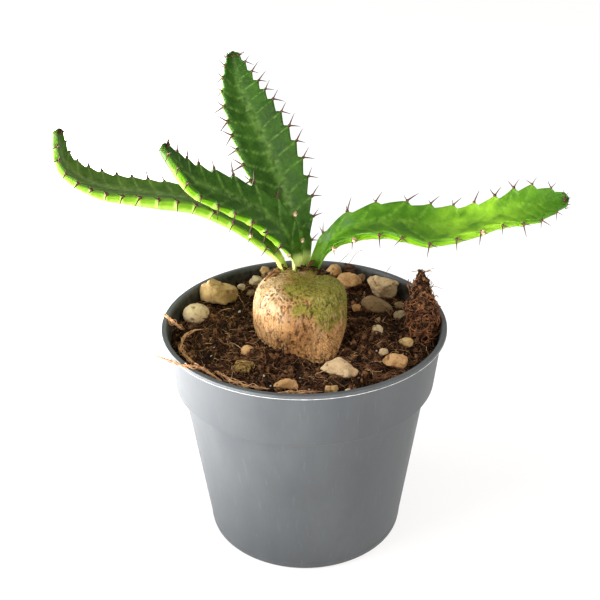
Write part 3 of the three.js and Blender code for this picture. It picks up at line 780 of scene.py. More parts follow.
# The soil has shrunk from the wall, most of all on the right.
near_wall = ease(0.93, 1.0, np.hypot(x, y) / soil_radius)
right_side = ease(10, 40, x)
z -= near_wall * (0.5 + 2.2 * right_side)
top_grid = np.stack([x, y, z], axis=2)
sides = []
for height in SIDE_HEIGHTS:
    radius = wall_radius(height) - SIDE_GAP
    sides.append(np.stack([radius * np.cos(turns), radius * np.sin(turns), 0 * turns + height], 1))
sides[0][:, :2] *= FOOT_TAPER
soil_grid = np.concatenate([np.array(sides), top_grid])
soil_points = soil_grid.reshape(-1, 3)
soil_faces = ring_faces(len(soil_grid), AROUND)
soil_faces.append(tuple(range(AROUND))[::-1])
soil_faces.append(tuple(range(len(soil_points) - AROUND, len(soil_points))))
print("soil top from", z.min().round(1), "to", z.max().round(1))

# %% [markdown]
# Peat is not one brown. Damp hollows are nearly black, drier crumbs are a red brown, and rotted
# fibres give it fine streaks.


# %% Peat materials
def peat_material(name, dark, light, seed):
    """Peat between two browns, with rust flecks and a rough crumbly face."""
    material, tree, shader = new_material(name, 0.92, Specular_IOR_Level=0.18)
    broad = mask(tree, patches_group, 2.6, 0.42, 0.6, (1, 1, 1), seed)
    fine = mask(tree, patches_group, 0.8, 0.42, 0.62, (1, 1, 1), seed + 3)
    color = blend(tree, dark, light, broad)
    color = blend(tree, color, light, times(tree, fine, 0.5))
    rust = mask(tree, patches_group, 1.1, 0.6, 0.7, (1, 1, 1), seed + 8)
    color = blend(tree, color, tint(112, 72, 44), times(tree, rust, 0.4))
    paint(tree, shader, color)
    bumps(tree, shader, [(fine, 0.4, 0.8)])
    return material


soil_material = peat_material("peat_dark", tint(14, 10, 8), tint(64, 45, 31), 0.0)
crumb_material = peat_material("peat_crumbs", tint(20, 14, 10), tint(140, 103, 73), 5.0)
soil = make_piece("soil_body", soil_points, soil_faces)
soil.data.materials.append(soil_material)
register(soil, "soil_peat", "soil")


# %% A bare sheet to scatter on
def scatter_host(grid, cover):
    """A sheet of faces that things are scattered on; it is not shown itself."""
    faces = ring_faces(*grid.shape[:2])
    return make_piece("scatter_host", grid.reshape(-1, 3), faces, {"cover": cover.reshape(-1)})


WALL_CLEARANCE = 0.1
RIM_MARGIN = 0.3


def keep_in_pot(piece):
    """Draws in whatever would poke through the pot's wall below its rim."""
    spots = np.empty(len(piece.data.vertices) * 3)
    piece.data.vertices.foreach_get("co", spots)
    spots = spots.reshape(-1, 3)
    reach = np.hypot(spots[:, 0], spots[:, 1]) / MM
    limit = wall_radius(spots[:, 2] / MM) - WALL_CLEARANCE
    below_rim = spots[:, 2] / MM < POT_HEIGHT + RIM_MARGIN
    share = np.where(below_rim, np.minimum(1, limit / np.maximum(reach, 1.0)), 1)
    spots[:, :2] *= share[:, None]
    piece.data.vertices.foreach_set("co", spots.reshape(-1))


def scatter(host, tree, name, slot, stands_for, material, values):
    """Grows one kind of small thing on the host and registers it as a piece."""
    lengths = ("Smallest", "Largest", "Shortest", "Longest", "Curl", "Curl size", "Sink")
    ready = {key: value * MM if key in lengths else value for key, value in values.items()}
    piece = grow(host, tree, name, {**ready, "Material": material})
    keep_in_pot(piece)
    register(piece, slot, stands_for)
    return piece


clear_of_caudex = ease(13.2, 15.0, np.hypot(x - CAUDEX_X, y - CAUDEX_Y))
patchy = 0.35 + 0.65 * ease(-0.25, 0.25, lumpy(flat_points, 9, 2, 3.0).reshape(x.shape))
soil_host = scatter_host(top_grid, clear_of_caudex * patchy)

# %% [markdown]
# The crumbs come in two sizes, the fibres in three colours and thicknesses, and a few white grains
# of perlite lie among them. Each kind is one piece with its own seed.

# %% Crumbs, fibres and perlite on the soil
scatter(soil_host, lumps_tree, "soil_crumbs_fine", "soil_peat", "soil", crumb_material, {
    "Per square cm": 95.0, "Smallest": 0.18, "Largest": 0.75, "Ruggedness": 0.9,
    "Flatness": 0.75, "Seed": 3})
scatter(soil_host, lumps_tree, "soil_crumbs_coarse", "soil_peat", "soil", crumb_material, {
    "Per square cm": 13.0, "Smallest": 0.5, "Largest": 2.1, "Ruggedness": 1.6,
    "Flatness": 0.5, "Seed": 8})

fibre_material, tree, shader, color = two_tone(
    "soil_fibre", 0.75, 3.0, 0.35, 0.65, tint(70, 46, 30), tint(150, 108, 72),
    Specular_IOR_Level=0.3)
pale = mask(tree, patches_group, 5.0, 0.58, 0.66, (1, 1, 1), 4.0)
paint(tree, shader, blend(tree, color, tint(192, 150, 104), pale))
scatter(soil_host, fibres_tree, "soil_fibres", "coir", "soil", fibre_material, {
    "Per square cm": 20.0, "Shortest": 1.6, "Longest": 9.0, "Slimness": 0.012, "Bow": 0.25,
    "Lift": 0.35, "Curl": 0.6, "Curl size": 2.8, "Seed": 5})

dark_fibre_material = two_tone("soil_root", 0.8, 2.5, 0.35, 0.65, tint(34, 22, 16),
                               tint(84, 52, 36), Specular_IOR_Level=0.2)[0]
scatter(soil_host, fibres_tree, "soil_roots", "soil_peat", "soil", dark_fibre_material, {
    "Per square cm": 14.0, "Shortest": 2.0, "Longest": 6.0, "Slimness": 0.035, "Bow": 0.3,
    "Lift": 0.5, "Curl": 0.7, "Curl size": 2.2, "Seed": 12})

pale_fibre_material = two_tone("pale_fibre", 0.75, 2.5, 0.35, 0.65, tint(150, 112, 76),
                               tint(212, 178, 138))[0]
scatter(soil_host, fibres_tree, "soil_fibres_pale", "coir", "soil", pale_fibre_material, {
    "Per square cm": 3.5, "Shortest": 2.0, "Longest": 9.0, "Slimness": 0.011, "Bow": 0.2,
    "Lift": 0.5, "Curl": 0.8, "Curl size": 3.0, "Seed": 23})

perlite_material = two_tone("perlite", 0.7, 1.2, 0.35, 0.65, tint(226, 220, 206),
                            tint(172, 160, 138))[0]
scatter(soil_host, lumps_tree, "soil_perlite", "stone_pale", "soil", perlite_material, {
    "Per square cm": 1.3, "Smallest": 0.2, "Largest": 0.75, "Ruggedness": 0.4, "Seed": 17})
bpy.data.objects.remove(soil_host)

# %% [markdown]
# ## The caudex
# The swollen base is corky: cream skin split by fine upright fissures and pits, browner near the
# soil, with green moss over its top and right shoulder. A profile turned about an axis, with a
# swell and a root lobe, gives the body; fissures, pits and scales are pressed into the dense mesh
# so that they are real shape, and the finish only colours them.

# %% Caudex body
caudex_profile = np.array([
    (34, 1.2), (42, 4.2), (56, 9.0), (68, 13.2), (76, 14.9), (80, 15.5), (86, 16.5), (92, 16.8),
    (97, 16.1), (100.4, 14.3), (102.6, 11.0), (103.6, 7.0), (103.9, 3.2), (104.05, 0.15),
])


LOBE_ANGLE = -64
LOBE_SWELL = 0.4


def caudex_swell(angle, z):
    """How far the body stands out from a plain turned shape."""
    oval = 1 + 0.025 * np.cos(2 * angle + 0.5) + 0.018 * np.sin(3 * angle + 0.08 * z)
    turn = np.clip(np.cos(angle - math.radians(LOBE_ANGLE)), 0, None)
    return oval + LOBE_SWELL * turn**9 * ease(-90, -79, -z) * ease(50, 74, z)


# %% Caudex grid
ROUND = 320
BURIED_ROWS = 8
OPEN_ROWS = 220
BURIED_SHARE = 4.0 / 13
buried = np.linspace(0, BURIED_SHARE, BURIED_ROWS, endpoint=False)
open_rows = np.linspace(BURIED_SHARE, 1, OPEN_ROWS)
rows = through(caudex_profile, np.concatenate([buried, open_rows]))
angles = np.arange(ROUND) / ROUND * 2 * math.pi
heights = np.repeat(rows[:, :1], ROUND, axis=1)
swell = caudex_swell(np.broadcast_to(angles, heights.shape), heights)
grid = np.stack([
    CAUDEX_X + rows[:, 1:2] * swell * np.cos(angles),
    CAUDEX_Y + rows[:, 1:2] * swell * np.sin(angles),
    heights,
], axis=2)
print("caudex grid:", grid.shape[0], "rows of", ROUND, "points")

# %% [markdown]
# Fine fissures run up the skin, cracks part it into scales where it is old and low, and pits sit on
# its swellings. Noise that is stretched upright gives the fissures, and the edges between scattered
# cells give the cracks.

# %% Caudex relief
outward = ring_normals(grid)
flat_grid = grid.reshape(-1, 3)
soft_lumps = lumpy(flat_grid, 9, 2).reshape(heights.shape)
upright = (1, 1, 3.2)
fissures = lumpy(flat_grid, 0.75, 3, 4.0, upright).reshape(heights.shape)
wavy = flat_grid + 0.7 * np.stack([lumpy(flat_grid, 1.8, 2, step) for step in (1, 4, 7)], axis=1)
scales = cells(wavy, 2.3, 2.0, (1, 1, 1.5))
crack = 1 - ease(0.0, 0.1, scales[:, 1] - scales[:, 0]).reshape(heights.shape)
crack *= ease(-0.35, 0.2, lumpy(flat_grid, 3.5, 2, 6.0).reshape(heights.shape))
pits = 1 - ease(0.06, 0.2, cells(flat_grid, 1.9, 11.0, (1, 1, 1.6))[:, 0]).reshape(heights.shape)
low_part = ease(-92, -80, -heights)
fissured = ease(-0.5, 0.15, lumpy(flat_grid, 4, 2, 17.0).reshape(heights.shape))
fissure_depth = ease(0.16, 0.42, fissures) * fissured
relief = (0.5 * soft_lumps - 0.4 * fissure_depth - (0.2 + 0.38 * low_part) * crack
          - 0.4 * pits * ease(0.0, 0.3, soft_lumps + 0.25))
relief *= ease(78, 81, heights)  # the buried part is left smooth
grid = grid + outward * relief[:, :, None]
caudex_points = grid.reshape(-1, 3)
caudex_faces = ring_faces(len(rows), ROUND)
caudex_faces.append(tuple(range(ROUND))[::-1])
caudex_faces.append(tuple(range(len(caudex_points) - ROUND, len(caudex_points))))
print("caudex relief from", relief.min().round(2), "to", relief.max().round(2), "mm")

# %% [markdown]
# Moss sits where the bark stays damp: over the top and down the right shoulder. The mask is stored
# on the points, so that the finish and the moss tufts agree on where it grows. Other stored masks
# say where the bark is stained by the soil and where its belly, the front, is painted a darker tan:
# partly the bark's own colour and partly painted shade where the light from the left falls off.

# %% Moss cover
direction = (grid - np.array([CAUDEX_X, CAUDEX_Y, 91])) / 15.0
moss_field = 0.62 * direction[:, :, 0] + 0.85 * direction[:, :, 2] - 0.12 * direction[:, :, 1]
moss_field += 0.42 * lumpy(caudex_points, 6, 3, 8.0).reshape(heights.shape)
moss = ease(0.42, 0.92, moss_field)
stain = ease(-101, -86, -heights + 7 * lumpy(flat_grid, 8, 3, 41.0).reshape(heights.shape))
from_left = caudex_points[:, 0] + 2.5 * lumpy(flat_grid, 5, 2, 23.0)
# The front of the body, painted a darker tan: partly bark colour, partly painted shade.
shaded_belly = ease(-11, -5, from_left) * (1 - ease(-1, 7, from_left)) * ease(6, -2, caudex_points[:, 1])
# Where fissures, cracks and pits lie; the finish paints them dark, partly as painted shade.
hollows = np.clip(0.8 * fissure_depth + 0.6 * crack * (0.5 + 0.5 * low_part) + pits, 0, 1)

# %% Caudex bark
bark_material, tree, shader = new_material("caudex_bark", 0.78, Specular_IOR_Level=0.3)
broad = mask(tree, patches_group, 6, 0.35, 0.65)
color = blend(tree, tint(172, 146, 112), tint(196, 174, 142), broad)
warm = reading(tree, "low")
color = blend(tree, color, tint(194, 150, 98), times(tree, warm, 0.8))
# Painted shade on the front, partly also the bark's own darker tan.
color = blend(tree, color, tint(136, 96, 54), times(tree, reading(tree, "shaded_belly"), 0.7))
tan = mask(tree, patches_group, 2.6, 0.48, 0.66, (1, 1, 1.5), 3.0)
color = blend(tree, color, tint(178, 132, 80), times(tree, tan, 0.7))
for size, seed, strength in ((1.9, 4.0, 0.75), (1.05, 9.0, 0.6)):
    network = mask(tree, cracks_group, size, 0.1, 0.0, (1, 1, 1.5), seed)
    where = mask(tree, patches_group, 3.2, 0.42, 0.58, (1, 1, 1.3), seed)
    network = times(tree, times(tree, network, where), strength)
    color = blend(tree, color, tint(104, 66, 34), network)
dashes = mask(tree, patches_group, 0.42, 0.56, 0.66, (1, 1, 3.4), 7.0)
color = blend(tree, color, tint(128, 88, 48), times(tree, dashes, 0.75))
green = reading(tree, "moss")
moss_tone = mask(tree, patches_group, 1.1, 0.4, 0.6, (1, 1, 1.8), 5.0)
moss_color = blend(tree, tint(150, 150, 52), tint(66, 74, 14), moss_tone)
speckle = mask(tree, patches_group, 0.5, 0.4, 0.56, (1, 1, 2.2), 13.0)
color = blend(tree, color, moss_color, times(tree, green, speckle))
color = blend(tree, color, tint(116, 118, 36), times(tree, green, 0.5))
# Fissures, cracks and pits painted dark brown: partly the darker bark inside them, partly painted
# shade.
dark = reading(tree, "hollow")
color = blend(tree, color, tint(66, 42, 22), times(tree, dark, 0.88))
flecks = mask(tree, patches_group, 0.55, 0.64, 0.7, (1, 1, 2.0), 21.0)
color = blend(tree, color, tint(46, 30, 18), flecks)
soiled = mask(tree, patches_group, 1.3, 0.5, 0.62, (1, 1, 1), 31.0)
color = blend(tree, color, tint(58, 38, 24), times(tree, soiled, reading(tree, "foot")))
paint(tree, shader, color)
bumps(tree, shader, [(dashes, 0.12, 0.5), (broad, 0.3, 0.3)])
caudex = make_piece("caudex_body", caudex_points, caudex_faces, {
    "moss": moss.reshape(-1), "hollow": hollows.reshape(-1),
    "low": stain.reshape(-1), "shaded_belly": shaded_belly, "foot": ease(-86, -79.5, -caudex_points[:, 2])})
caudex.data.materials.append(bark_material)
register(caudex, "caudex_bark", "caudex")

# %% Moss tufts
FIRST_MOSS_ROW = 10
moss_material = two_tone("moss", 0.9, 0.8, 0.38, 0.62, tint(70, 72, 18), tint(132, 128, 48))[0]
shown = slice(FIRST_MOSS_ROW, len(rows))
moss_host = scatter_host(grid[shown], (moss * (0.3 + 0.7 * hollows))[shown])
scatter(moss_host, lumps_tree, "moss_tufts", "caudex_bark", "caudex", moss_material, {
    "Per square cm": 330.0, "Smallest": 0.07, "Largest": 0.24, "Ruggedness": 0.8,
    "Flatness": 0.8, "Seed": 4})
bpy.data.objects.remove(moss_host)

# %% [markdown]
# Dark peat and bits of old bark have collected on top of the caudex, between the stems and behind
# them.

# %% Peat on the crown
CROWN_ROWS = 96
HEAP_X = 4.8
HEAP_Y = 8.2
crown = grid[-CROWN_ROWS:]
away = np.hypot(crown[:, :, 0] - HEAP_X, crown[:, :, 1] - HEAP_Y)
crown_cover = np.maximum(ease(-7.5, -4.5, -away), 0.6 * ease(5.0, 8.0, crown[:, :, 1]))
crown_host = scatter_host(crown, crown_cover)
scatter(crown_host, lumps_tree, "crown_peat", "soil_peat", "caudex", crumb_material, {
    "Per square cm": 110.0, "Smallest": 0.4, "Largest": 2.2, "Ruggedness": 0.8,
    "Flatness": 0.8, "Sink": -0.6, "Seed": 9})
scatter(crown_host, fibres_tree, "crown_fibres", "soil_peat", "caudex", dark_fibre_material, {
    "Per square cm": 30.0, "Shortest": 1.5, "Longest": 4.0, "Slimness": 0.04, "Bow": 0.3,
    "Lift": 0.8, "Curl": 0.4, "Curl size": 2.0, "Seed": 2})
bpy.data.objects.remove(crown_host)

# %% [markdown]
# ## The stems
# Each stem is a thick green ribbon: hollow above, keeled below, with a row of hooked teeth along
# both margins. Its centre line is a short list of points, with the direction across the face, half
# the width and the depth at each. Sections are swept along that line, and a tooth rule moves the
# margins in and out.

# %% Stem lines
# Each stem: first and last gap between teeth; for its two margins, how deep they are notched and
# how far a vein climbs on its way out, in teeth; then rows of place, direction across, half width
# over the teeth and depth from face to keel.
STEMS = {
    "stem_upright": ([8.2, 3.2], (0.4, 0.72), (1.35, 0.5), [
        ((0.3, 11.7, 100), (1, 0.25, 0), 1.8, 3.8),
        ((-0.3, 10.7, 112.4), (1, 0.25, 0.1), 3.8, 5.2),
        ((-3, 10.5, 123), (1, 0.5, 0.14), 8.1, 6),
        ((-8.5, 14.5, 138), (1, 0.6, 0.18), 11.3, 6.2),
        ((-15, 19, 152.5), (1, 0.6, 0.18), 11.0, 5.8),
        ((-20.8, 22.5, 165), (1, 0.55, 0.18), 8.0, 5),
        ((-23.8, 26, 177), (1, 0.5, 0.15), 2.6, 3),
    ]),
    "stem_left": ([8.4, 3.6], (0.4, 0.8), (1.2, 0.8), [
        ((-6.3, 7.6, 101.6), (0.3, 1, 0.1), 1.7, 3.5),
        ((-10.8, 5.4, 112.6), (0.2, 1, 0.1), 3.0, 4.2),
        ((-21, 4, 124.2), (0.1, 1, 0.05), 6.5, 5.4),
        ((-36, 5, 132.8), (0, 1, -0.02), 9, 6.8),
        ((-54, 5, 136), (0, 1, 0), 9.2, 6.8),
        ((-70, 5.5, 138.5), (0, 1, 0.06), 8.6, 6),
        ((-80.5, 6, 145), (0.08, 1, 0.06), 6.4, 4.8),
        ((-82.5, 7, 156), (0.2, 1, 0.05), 2.4, 3),
    ]),
    "stem_front": ([10.6, 4.2], (0.45, 0.9), (1.3, 0.7), [
        ((-2.4, 6.6, 102.2), (0.5, 1, 0.2), 1.5, 3.1),
        ((-2.3, 3.6, 110.8), (0.9, 1, 0.3), 2.9, 4.8),
        ((-5.5, -1.8, 122.5), (0.45, 1, 0.6), 7, 6),
        ((-13.5, -5, 132.2), (0.15, 1, 0.52), 8.4, 6.4),
        ((-24, -9.7, 139.8), (0.06, 1, 0.45), 8.4, 6.2),
        ((-34, -15, 146.5), (0, 1, 0.42), 7.2, 5.6),
        ((-39, -18.5, 153.5), (-0.1, 1, 0.3), 5.2, 4.4),
        ((-43, -20.5, 159.5), (-0.1, 1, 0.25), 2.4, 3),
    ]),
    "stem_right": ([11.2, 5.2], (0.85, 0.5), (0.8, 1.2), [
        ((3.3, 8.9, 101), (0.75, -0.8, -0.3), 1.6, 3.4),
        ((7.4, 7.2, 112.9), (0.6, -0.8, -0.4), 3.4, 5.0),
        ((16.4, 4.8, 121.4), (0.3, -1, -0.42), 6.6, 6),
        ((30, 4, 124.7), (0, -1, -0.42), 8.8, 6.6),
        ((44, 2.5, 122.8), (-0.05, -1, -0.5), 9.5, 6.4),
        ((56, 1, 124.4), (-0.05, -1, -0.4), 8.2, 6),
        ((67, 0, 128.2), (-0.1, -1, -0.5), 7.2, 5.4),
        ((79, -0.5, 131.2), (-0.05, -1, -0.78), 7.8, 4.8),
        ((90.8, 0.5, 132.2), (0, -1, -0.9), 2.8, 3.2),
    ]),
}
FIRST_TOOTH = 0.145
TOOTH_HEIGHT = 2.6
TOOTH_DROP = 0.16
BARE_TIP = 1.2
BASE_FLARE = 0.12
SECTION = np.array([
    (1, -0.09), (0.9, 0.02), (0.5, -0.12), (0, -0.26), (-0.5, -0.12), (-0.9, 0.02), (-1, -0.09),
    (-1.01, -0.26), (-0.9, -0.5), (-0.54, -0.82), (0, -1.0), (0.54, -0.82), (0.9, -0.5),
    (1.01, -0.26),
])


# %% Reading a stem at any length
ARC_STEPS = 241
LITTLE_STEP = 0.004


def arc_table(rows):
    """Lengths from the base at evenly spread shares of the stem's points."""
    shares = np.linspace(0, 1, ARC_STEPS)
    places = through([row[0] for row in rows], shares)
    steps = np.linalg.norm(np.diff(places, axis=0), axis=1)
    return shares, np.concatenate([[0], np.cumsum(steps)])


def tooth_places(length, gaps):
    """Distances of the teeth from the base; the gaps shrink towards the tip."""
    places = [length * FIRST_TOOTH]
    while True:
        gap = gaps[0] + (gaps[1] - gaps[0]) * (places[-1] / length) ** 1.3
        if places[-1] + gap > length - BARE_TIP:
            return np.array(places)
        places.append(places[-1] + gap)


def stem_frame(rows, distance):
    """Place, across, up and along directions, half width and depth at distances along a stem."""
    shares, lengths = arc_table(rows)
    share = np.interp(distance, lengths, shares)
    place = through([row[0] for row in rows], share)
    along = (through([row[0] for row in rows], share + LITTLE_STEP)
             - through([row[0] for row in rows], share - LITTLE_STEP))
    along /= np.linalg.norm(along, axis=1, keepdims=True)
    across = through([row[1] for row in rows], share)
    across -= along * (across * along).sum(axis=1, keepdims=True)
    across /= np.linalg.norm(across, axis=1, keepdims=True)
    up = np.cross(across, along)
    width = through([row[2] for row in rows], share)[:, 0]
    depth = through([row[3] for row in rows], share)[:, 0]
    return place, across, up, along, width, depth


def beat_at(distance, places):
    """Counts teeth along the stem: a whole number at each tooth, even between them."""
    before = 2 * places[0] - places[1]
    after = 2 * places[-1] - places[-2]
    knots = np.concatenate([[before], places, [after]])
    return np.interp(distance, knots, np.arange(len(knots)) - 1.0)


def tooth_shape(distance, places):
    """1 at a tooth, a quick fall behind it, then a slow rise to the next."""
    part = beat_at(distance, places)
    part = part - np.floor(part + 1e-9)
    fall = 1 - part / TOOTH_DROP
    rise = ((part - TOOTH_DROP) / (1 - TOOTH_DROP)).clip(0, 1) ** 1.25
    shape = np.where(part < TOOTH_DROP, fall.clip(0, 1) ** 0.8, rise)
    base = ease(0, places[0], distance) ** 1.8
    return np.where(distance < places[0], base, shape)


# %% Sweeping a stem
SECTION_POINTS = 56
STEPS_PER_TOOTH = 22
STEPS_BEFORE_TEETH = 30
FOOT_LENGTH = 0.6
TIP_LENGTH = 1.2


def section_curve():
    """The closed section as evenly spread points, and the angle of each when round."""
    closed_section = np.vstack([SECTION, SECTION[:1]])
    outline = through(closed_section, np.arange(SECTION_POINTS) / SECTION_POINTS)
    return outline, np.arctan2(outline[:, 1] + 0.2, outline[:, 0])


def section_places(name):
    """Distances of the sections and of the teeth from a stem's base, and the stem's length."""
    gaps, _, _, rows = STEMS[name]
    length = arc_table(rows)[1][-1]
    places = tooth_places(length, gaps)
    beats = np.linspace(0, len(places), len(places) * STEPS_PER_TOOTH)
    knots = np.concatenate([places, [length]])
    upper = np.interp(beats, np.arange(len(knots)), knots)
    lower = np.linspace(0, places[0], STEPS_BEFORE_TEETH, endpoint=False)
    print(name, "teeth on each margin:", len(places), "length:", round(float(length), 1), "mm")
    return np.concatenate([lower, upper]), places, length


def toothed_sections(name, distance, places):
    """A stem's sections as rings of points, with the points that close its foot and its tip."""
    _, margins, _, rows = STEMS[name]
    place, across, up, along, width, depth = stem_frame(rows, distance)
    width = width * (1 + BASE_FLARE * (1 - ease(0, 9, distance)))
    outline, angle = section_curve()
    channelled = ease(5, 15, distance)[:, None]
    notch = (np.minimum(TOOTH_HEIGHT, 0.34 * width) * (1 - tooth_shape(distance, places)))[:, None]
    reach = np.clip((np.abs(outline[:, 0]) - 0.5) / 0.5, 0, 1)
    reach *= 1 - ease(0.2, 0.62, -outline[:, 1])
    reach *= np.where(outline[:, 0] < 0, margins[0], margins[1])
    flat_x = outline[:, 0] * width[:, None] - np.sign(outline[:, 0]) * notch * reach
    flat_y = outline[:, 1] * depth[:, None]
    x = flat_x * channelled + width[:, None] * np.cos(angle) * (1 - channelled)
    y = flat_y * channelled + 0.5 * depth[:, None] * np.sin(angle) * (1 - channelled)
    grid = place[:, None, :] + x[:, :, None] * across[:, None, :] + y[:, :, None] * up[:, None, :]
    foot = place[0] - along[0] * FOOT_LENGTH
    tip = place[-1] + along[-1] * TIP_LENGTH
    return grid, foot, tip


# %% Colour guides of a stem
VEIN_DEPTH = 0.16
BUTTRESS_HEIGHT = 0.2
UNEVENNESS = 0.1


def stem_guides(name, distance, places, length):
    """Numbers that guide the skin at every point, and how far the ribs under the teeth stand out."""
    rises = STEMS[name][2]
    outline = section_curve()[0]
    beat = beat_at(distance, places)
    under = np.clip(-(outline[:, 1] + 0.06) / 0.94, 0, 1) * (np.arange(SECTION_POINTS) > 20)
    face = 1 - ease(0.0, 0.16, under)
    sway = np.abs(outline[:, 0])
    rise = np.where(outline[:, 0] < 0, rises[0], rises[1])
    rise_middle = 0.5 * sum(rises)
    rise = rise_middle + (rise - rise_middle) * ease(0, 0.3, sway)
    vein_count = beat[:, None] + rise * (1 - sway**0.8)
    to_vein = np.abs(vein_count - np.round(vein_count)) / (0.65 + 0.5 * rise)
    fade = ease(3, 14, distance)[:, None] * ease(0, 6, length - distance)[:, None]
    at_tooth = np.abs(beat - np.round(beat))[:, None]
    buttress = (1 - ease(0.0, 0.3, at_tooth)) * ease(0.04, 0.3, under) * (1 - ease(0.4, 0.8, under))
    every_point = (len(distance), SECTION_POINTS)
    guides = {
        "sway": np.broadcast_to(sway, every_point),
        "under": np.broadcast_to(under, every_point),
        "vein": (1 - ease(0.02, 0.12, to_vein)) * face * fade,
        "tooth": np.broadcast_to(1 - ease(0.0, 0.22, at_tooth), every_point) * fade,
        "climb": np.broadcast_to((distance / length)[:, None], every_point),
    }
    return guides, BUTTRESS_HEIGHT * buttress * fade


# %% Making a stem
def make_stem(name, seed):
    """One stem with its colour guides stored on its points."""
    distance, places, length = section_places(name)
    grid, foot, tip = toothed_sections(name, distance, places)
    guides, ribs = stem_guides(name, distance, places, length)
    uneven = lumpy(grid, 6, 2, seed).reshape(len(distance), -1)
    relief = UNEVENNESS * uneven - VEIN_DEPTH * guides["vein"] + ribs
    grid = grid + ring_normals(grid) * -relief[:, :, None]
    points = np.vstack([grid.reshape(-1, 3), foot, tip])
    faces = [face[::-1] for face in ring_faces(len(distance), SECTION_POINTS)]
    last = (len(distance) - 1) * SECTION_POINTS
    foot_point, tip_point = len(points) - 2, len(points) - 1
    for column in range(SECTION_POINTS):
        beside = (column + 1) % SECTION_POINTS
        faces.append((foot_point, column, beside))
        faces.append((tip_point, last + beside, last + column))
    stored = {key: np.append(value.reshape(-1), value[[0, -1], 0])
              for key, value in guides.items()}
    piece = make_piece(name.replace("stem", "green_stem"), points, faces, stored)
    set_outward(piece)
    return piece


# %% [markdown]
# The skin is deep green on the hollow face, with a pale band along the middle and paler veins that
# climb outward to every tooth. The margins are a brighter green, the keel side pale, and the base
# fades to a creamy green where it leaves the caudex. The left stem's skin is duller, and the right
# stem, which grew in more light, has a yellow-green stretch before its tip.


# %% Stem skin
GLOW_FADE = 0.15


def stem_skin(name, face_dark, face_light, vein, edge, keel, base, glow):
    """Green skin coloured by the guides stored on a stem."""
    material, tree, shader = new_material(name, 0.4, Specular_IOR_Level=0.2,
                                          Subsurface_Weight=0.08, Subsurface_Scale=1.2 * MM)
    shader.inputs["Subsurface Radius"].default_value = (0.6, 1.0, 0.2)
    broad = mask(tree, patches_group, 5, 0.36, 0.66)
    fine = mask(tree, patches_group, 0.9, 0.4, 0.65, (1, 1, 1), 3.0)
    color = blend(tree, face_dark, face_light, broad)
    climb = reading(tree, "climb")
    sway = reading(tree, "sway")
    under = reading(tree, "under")
    middle = opposite(tree, spread(tree, sway, 0.05, 0.3))
    ragged = mask(tree, patches_group, 1.8, 0.35, 0.6, (1, 1, 1), 8.0)
    middle = times(tree, middle, ragged)
    color = blend(tree, color, vein, times(tree, middle, 0.55))
    veins = times(tree, reading(tree, "vein"), ragged)
    color = blend(tree, color, vein, times(tree, veins, 0.75))
    color = blend(tree, color, vein, times(tree, fine, 0.12))
    bright = spread(tree, under, 0.02, 0.1)
    color = blend(tree, color, edge, bright)
    rib = times(tree, reading(tree, "tooth"), bright)
    color = blend(tree, color, keel, times(tree, rib, 0.55))
    color = blend(tree, color, keel, spread(tree, under, 0.22, 0.42))
    mottle = mask(tree, patches_group, 1.6, 0.46, 0.62, (1, 1, 1), 15.0)
    mottle = times(tree, mottle, spread(tree, under, 0.3, 0.6))
    color = blend(tree, color, edge, times(tree, mottle, 0.7))
    underside = times(tree, spread(tree, under, 0.45, 0.85), 0.4)
    color = blend(tree, color, face_light, underside)
    young = spread(tree, climb, 0.86, 1.0)
    color = blend(tree, color, face_dark, times(tree, young, 0.8))
    low = opposite(tree, spread(tree, climb, 0.03, 0.2))
    pale_low = times(tree, low, spread(tree, under, 0.0, 0.2))
    color = blend(tree, color, base, pale_low)
    lowest = opposite(tree, spread(tree, climb, 0.05, 0.11))
    color = blend(tree, color, base, lowest)
    if glow is not None:
        starts = spread(tree, climb, glow[0], glow[0] + GLOW_FADE)
        ends = opposite(tree, spread(tree, climb, glow[1] - GLOW_FADE, glow[1]))
        lit = times(tree, starts, ends)
        lit = times(tree, lit, mask(tree, patches_group, 7, 0.35, 0.6, (1, 1, 1), 5.0))
        color = blend(tree, color, tint(136, 178, 48), times(tree, lit, 0.75))
    paint(tree, shader, color, node(tree, "ShaderNodeMapRange", {
        "Value": broad, "To Min": 0.3, "To Max": 0.48}).outputs[0])
    bumps(tree, shader, [(fine, 0.06, 0.3), (broad, 0.3, 0.25)])
    return material


deep_skin = stem_skin("stem_skin_deep", tint(38, 72, 14), tint(57, 94, 24), tint(108, 140, 68),
                      tint(96, 142, 18), tint(124, 162, 52), tint(206, 220, 140), None)
left_skin = stem_skin("stem_skin_left", tint(62, 92, 28), tint(86, 116, 44), tint(126, 148, 84),
                      tint(104, 142, 30), tint(130, 162, 60), tint(196, 212, 120), None)
bright_skin = stem_skin("stem_skin_bright", tint(60, 102, 24), tint(86, 128, 30),
                        tint(112, 150, 54), tint(106, 152, 22), tint(142, 178, 64),
                        tint(112, 152, 56), (0.5, 0.9))
stem_seeds = {"stem_upright": 1.0, "stem_left": 4.0, "stem_front": 7.0, "stem_right": 10.0}
stem_skins = {"stem_left": left_skin, "stem_right": bright_skin}
for name, seed in stem_seeds.items():
    stem = make_stem(name, seed)
    stem.data.materials.append(stem_skins.get(name, deep_skin))
    register(stem, "stem_skin", name)

# %% [markdown]
# Every tooth ends in a small brown shield with a pair of spines. The tree places one slightly bent
# spine and one shield on each stored point, turned along the point's own direction and scaled by
# its own size.

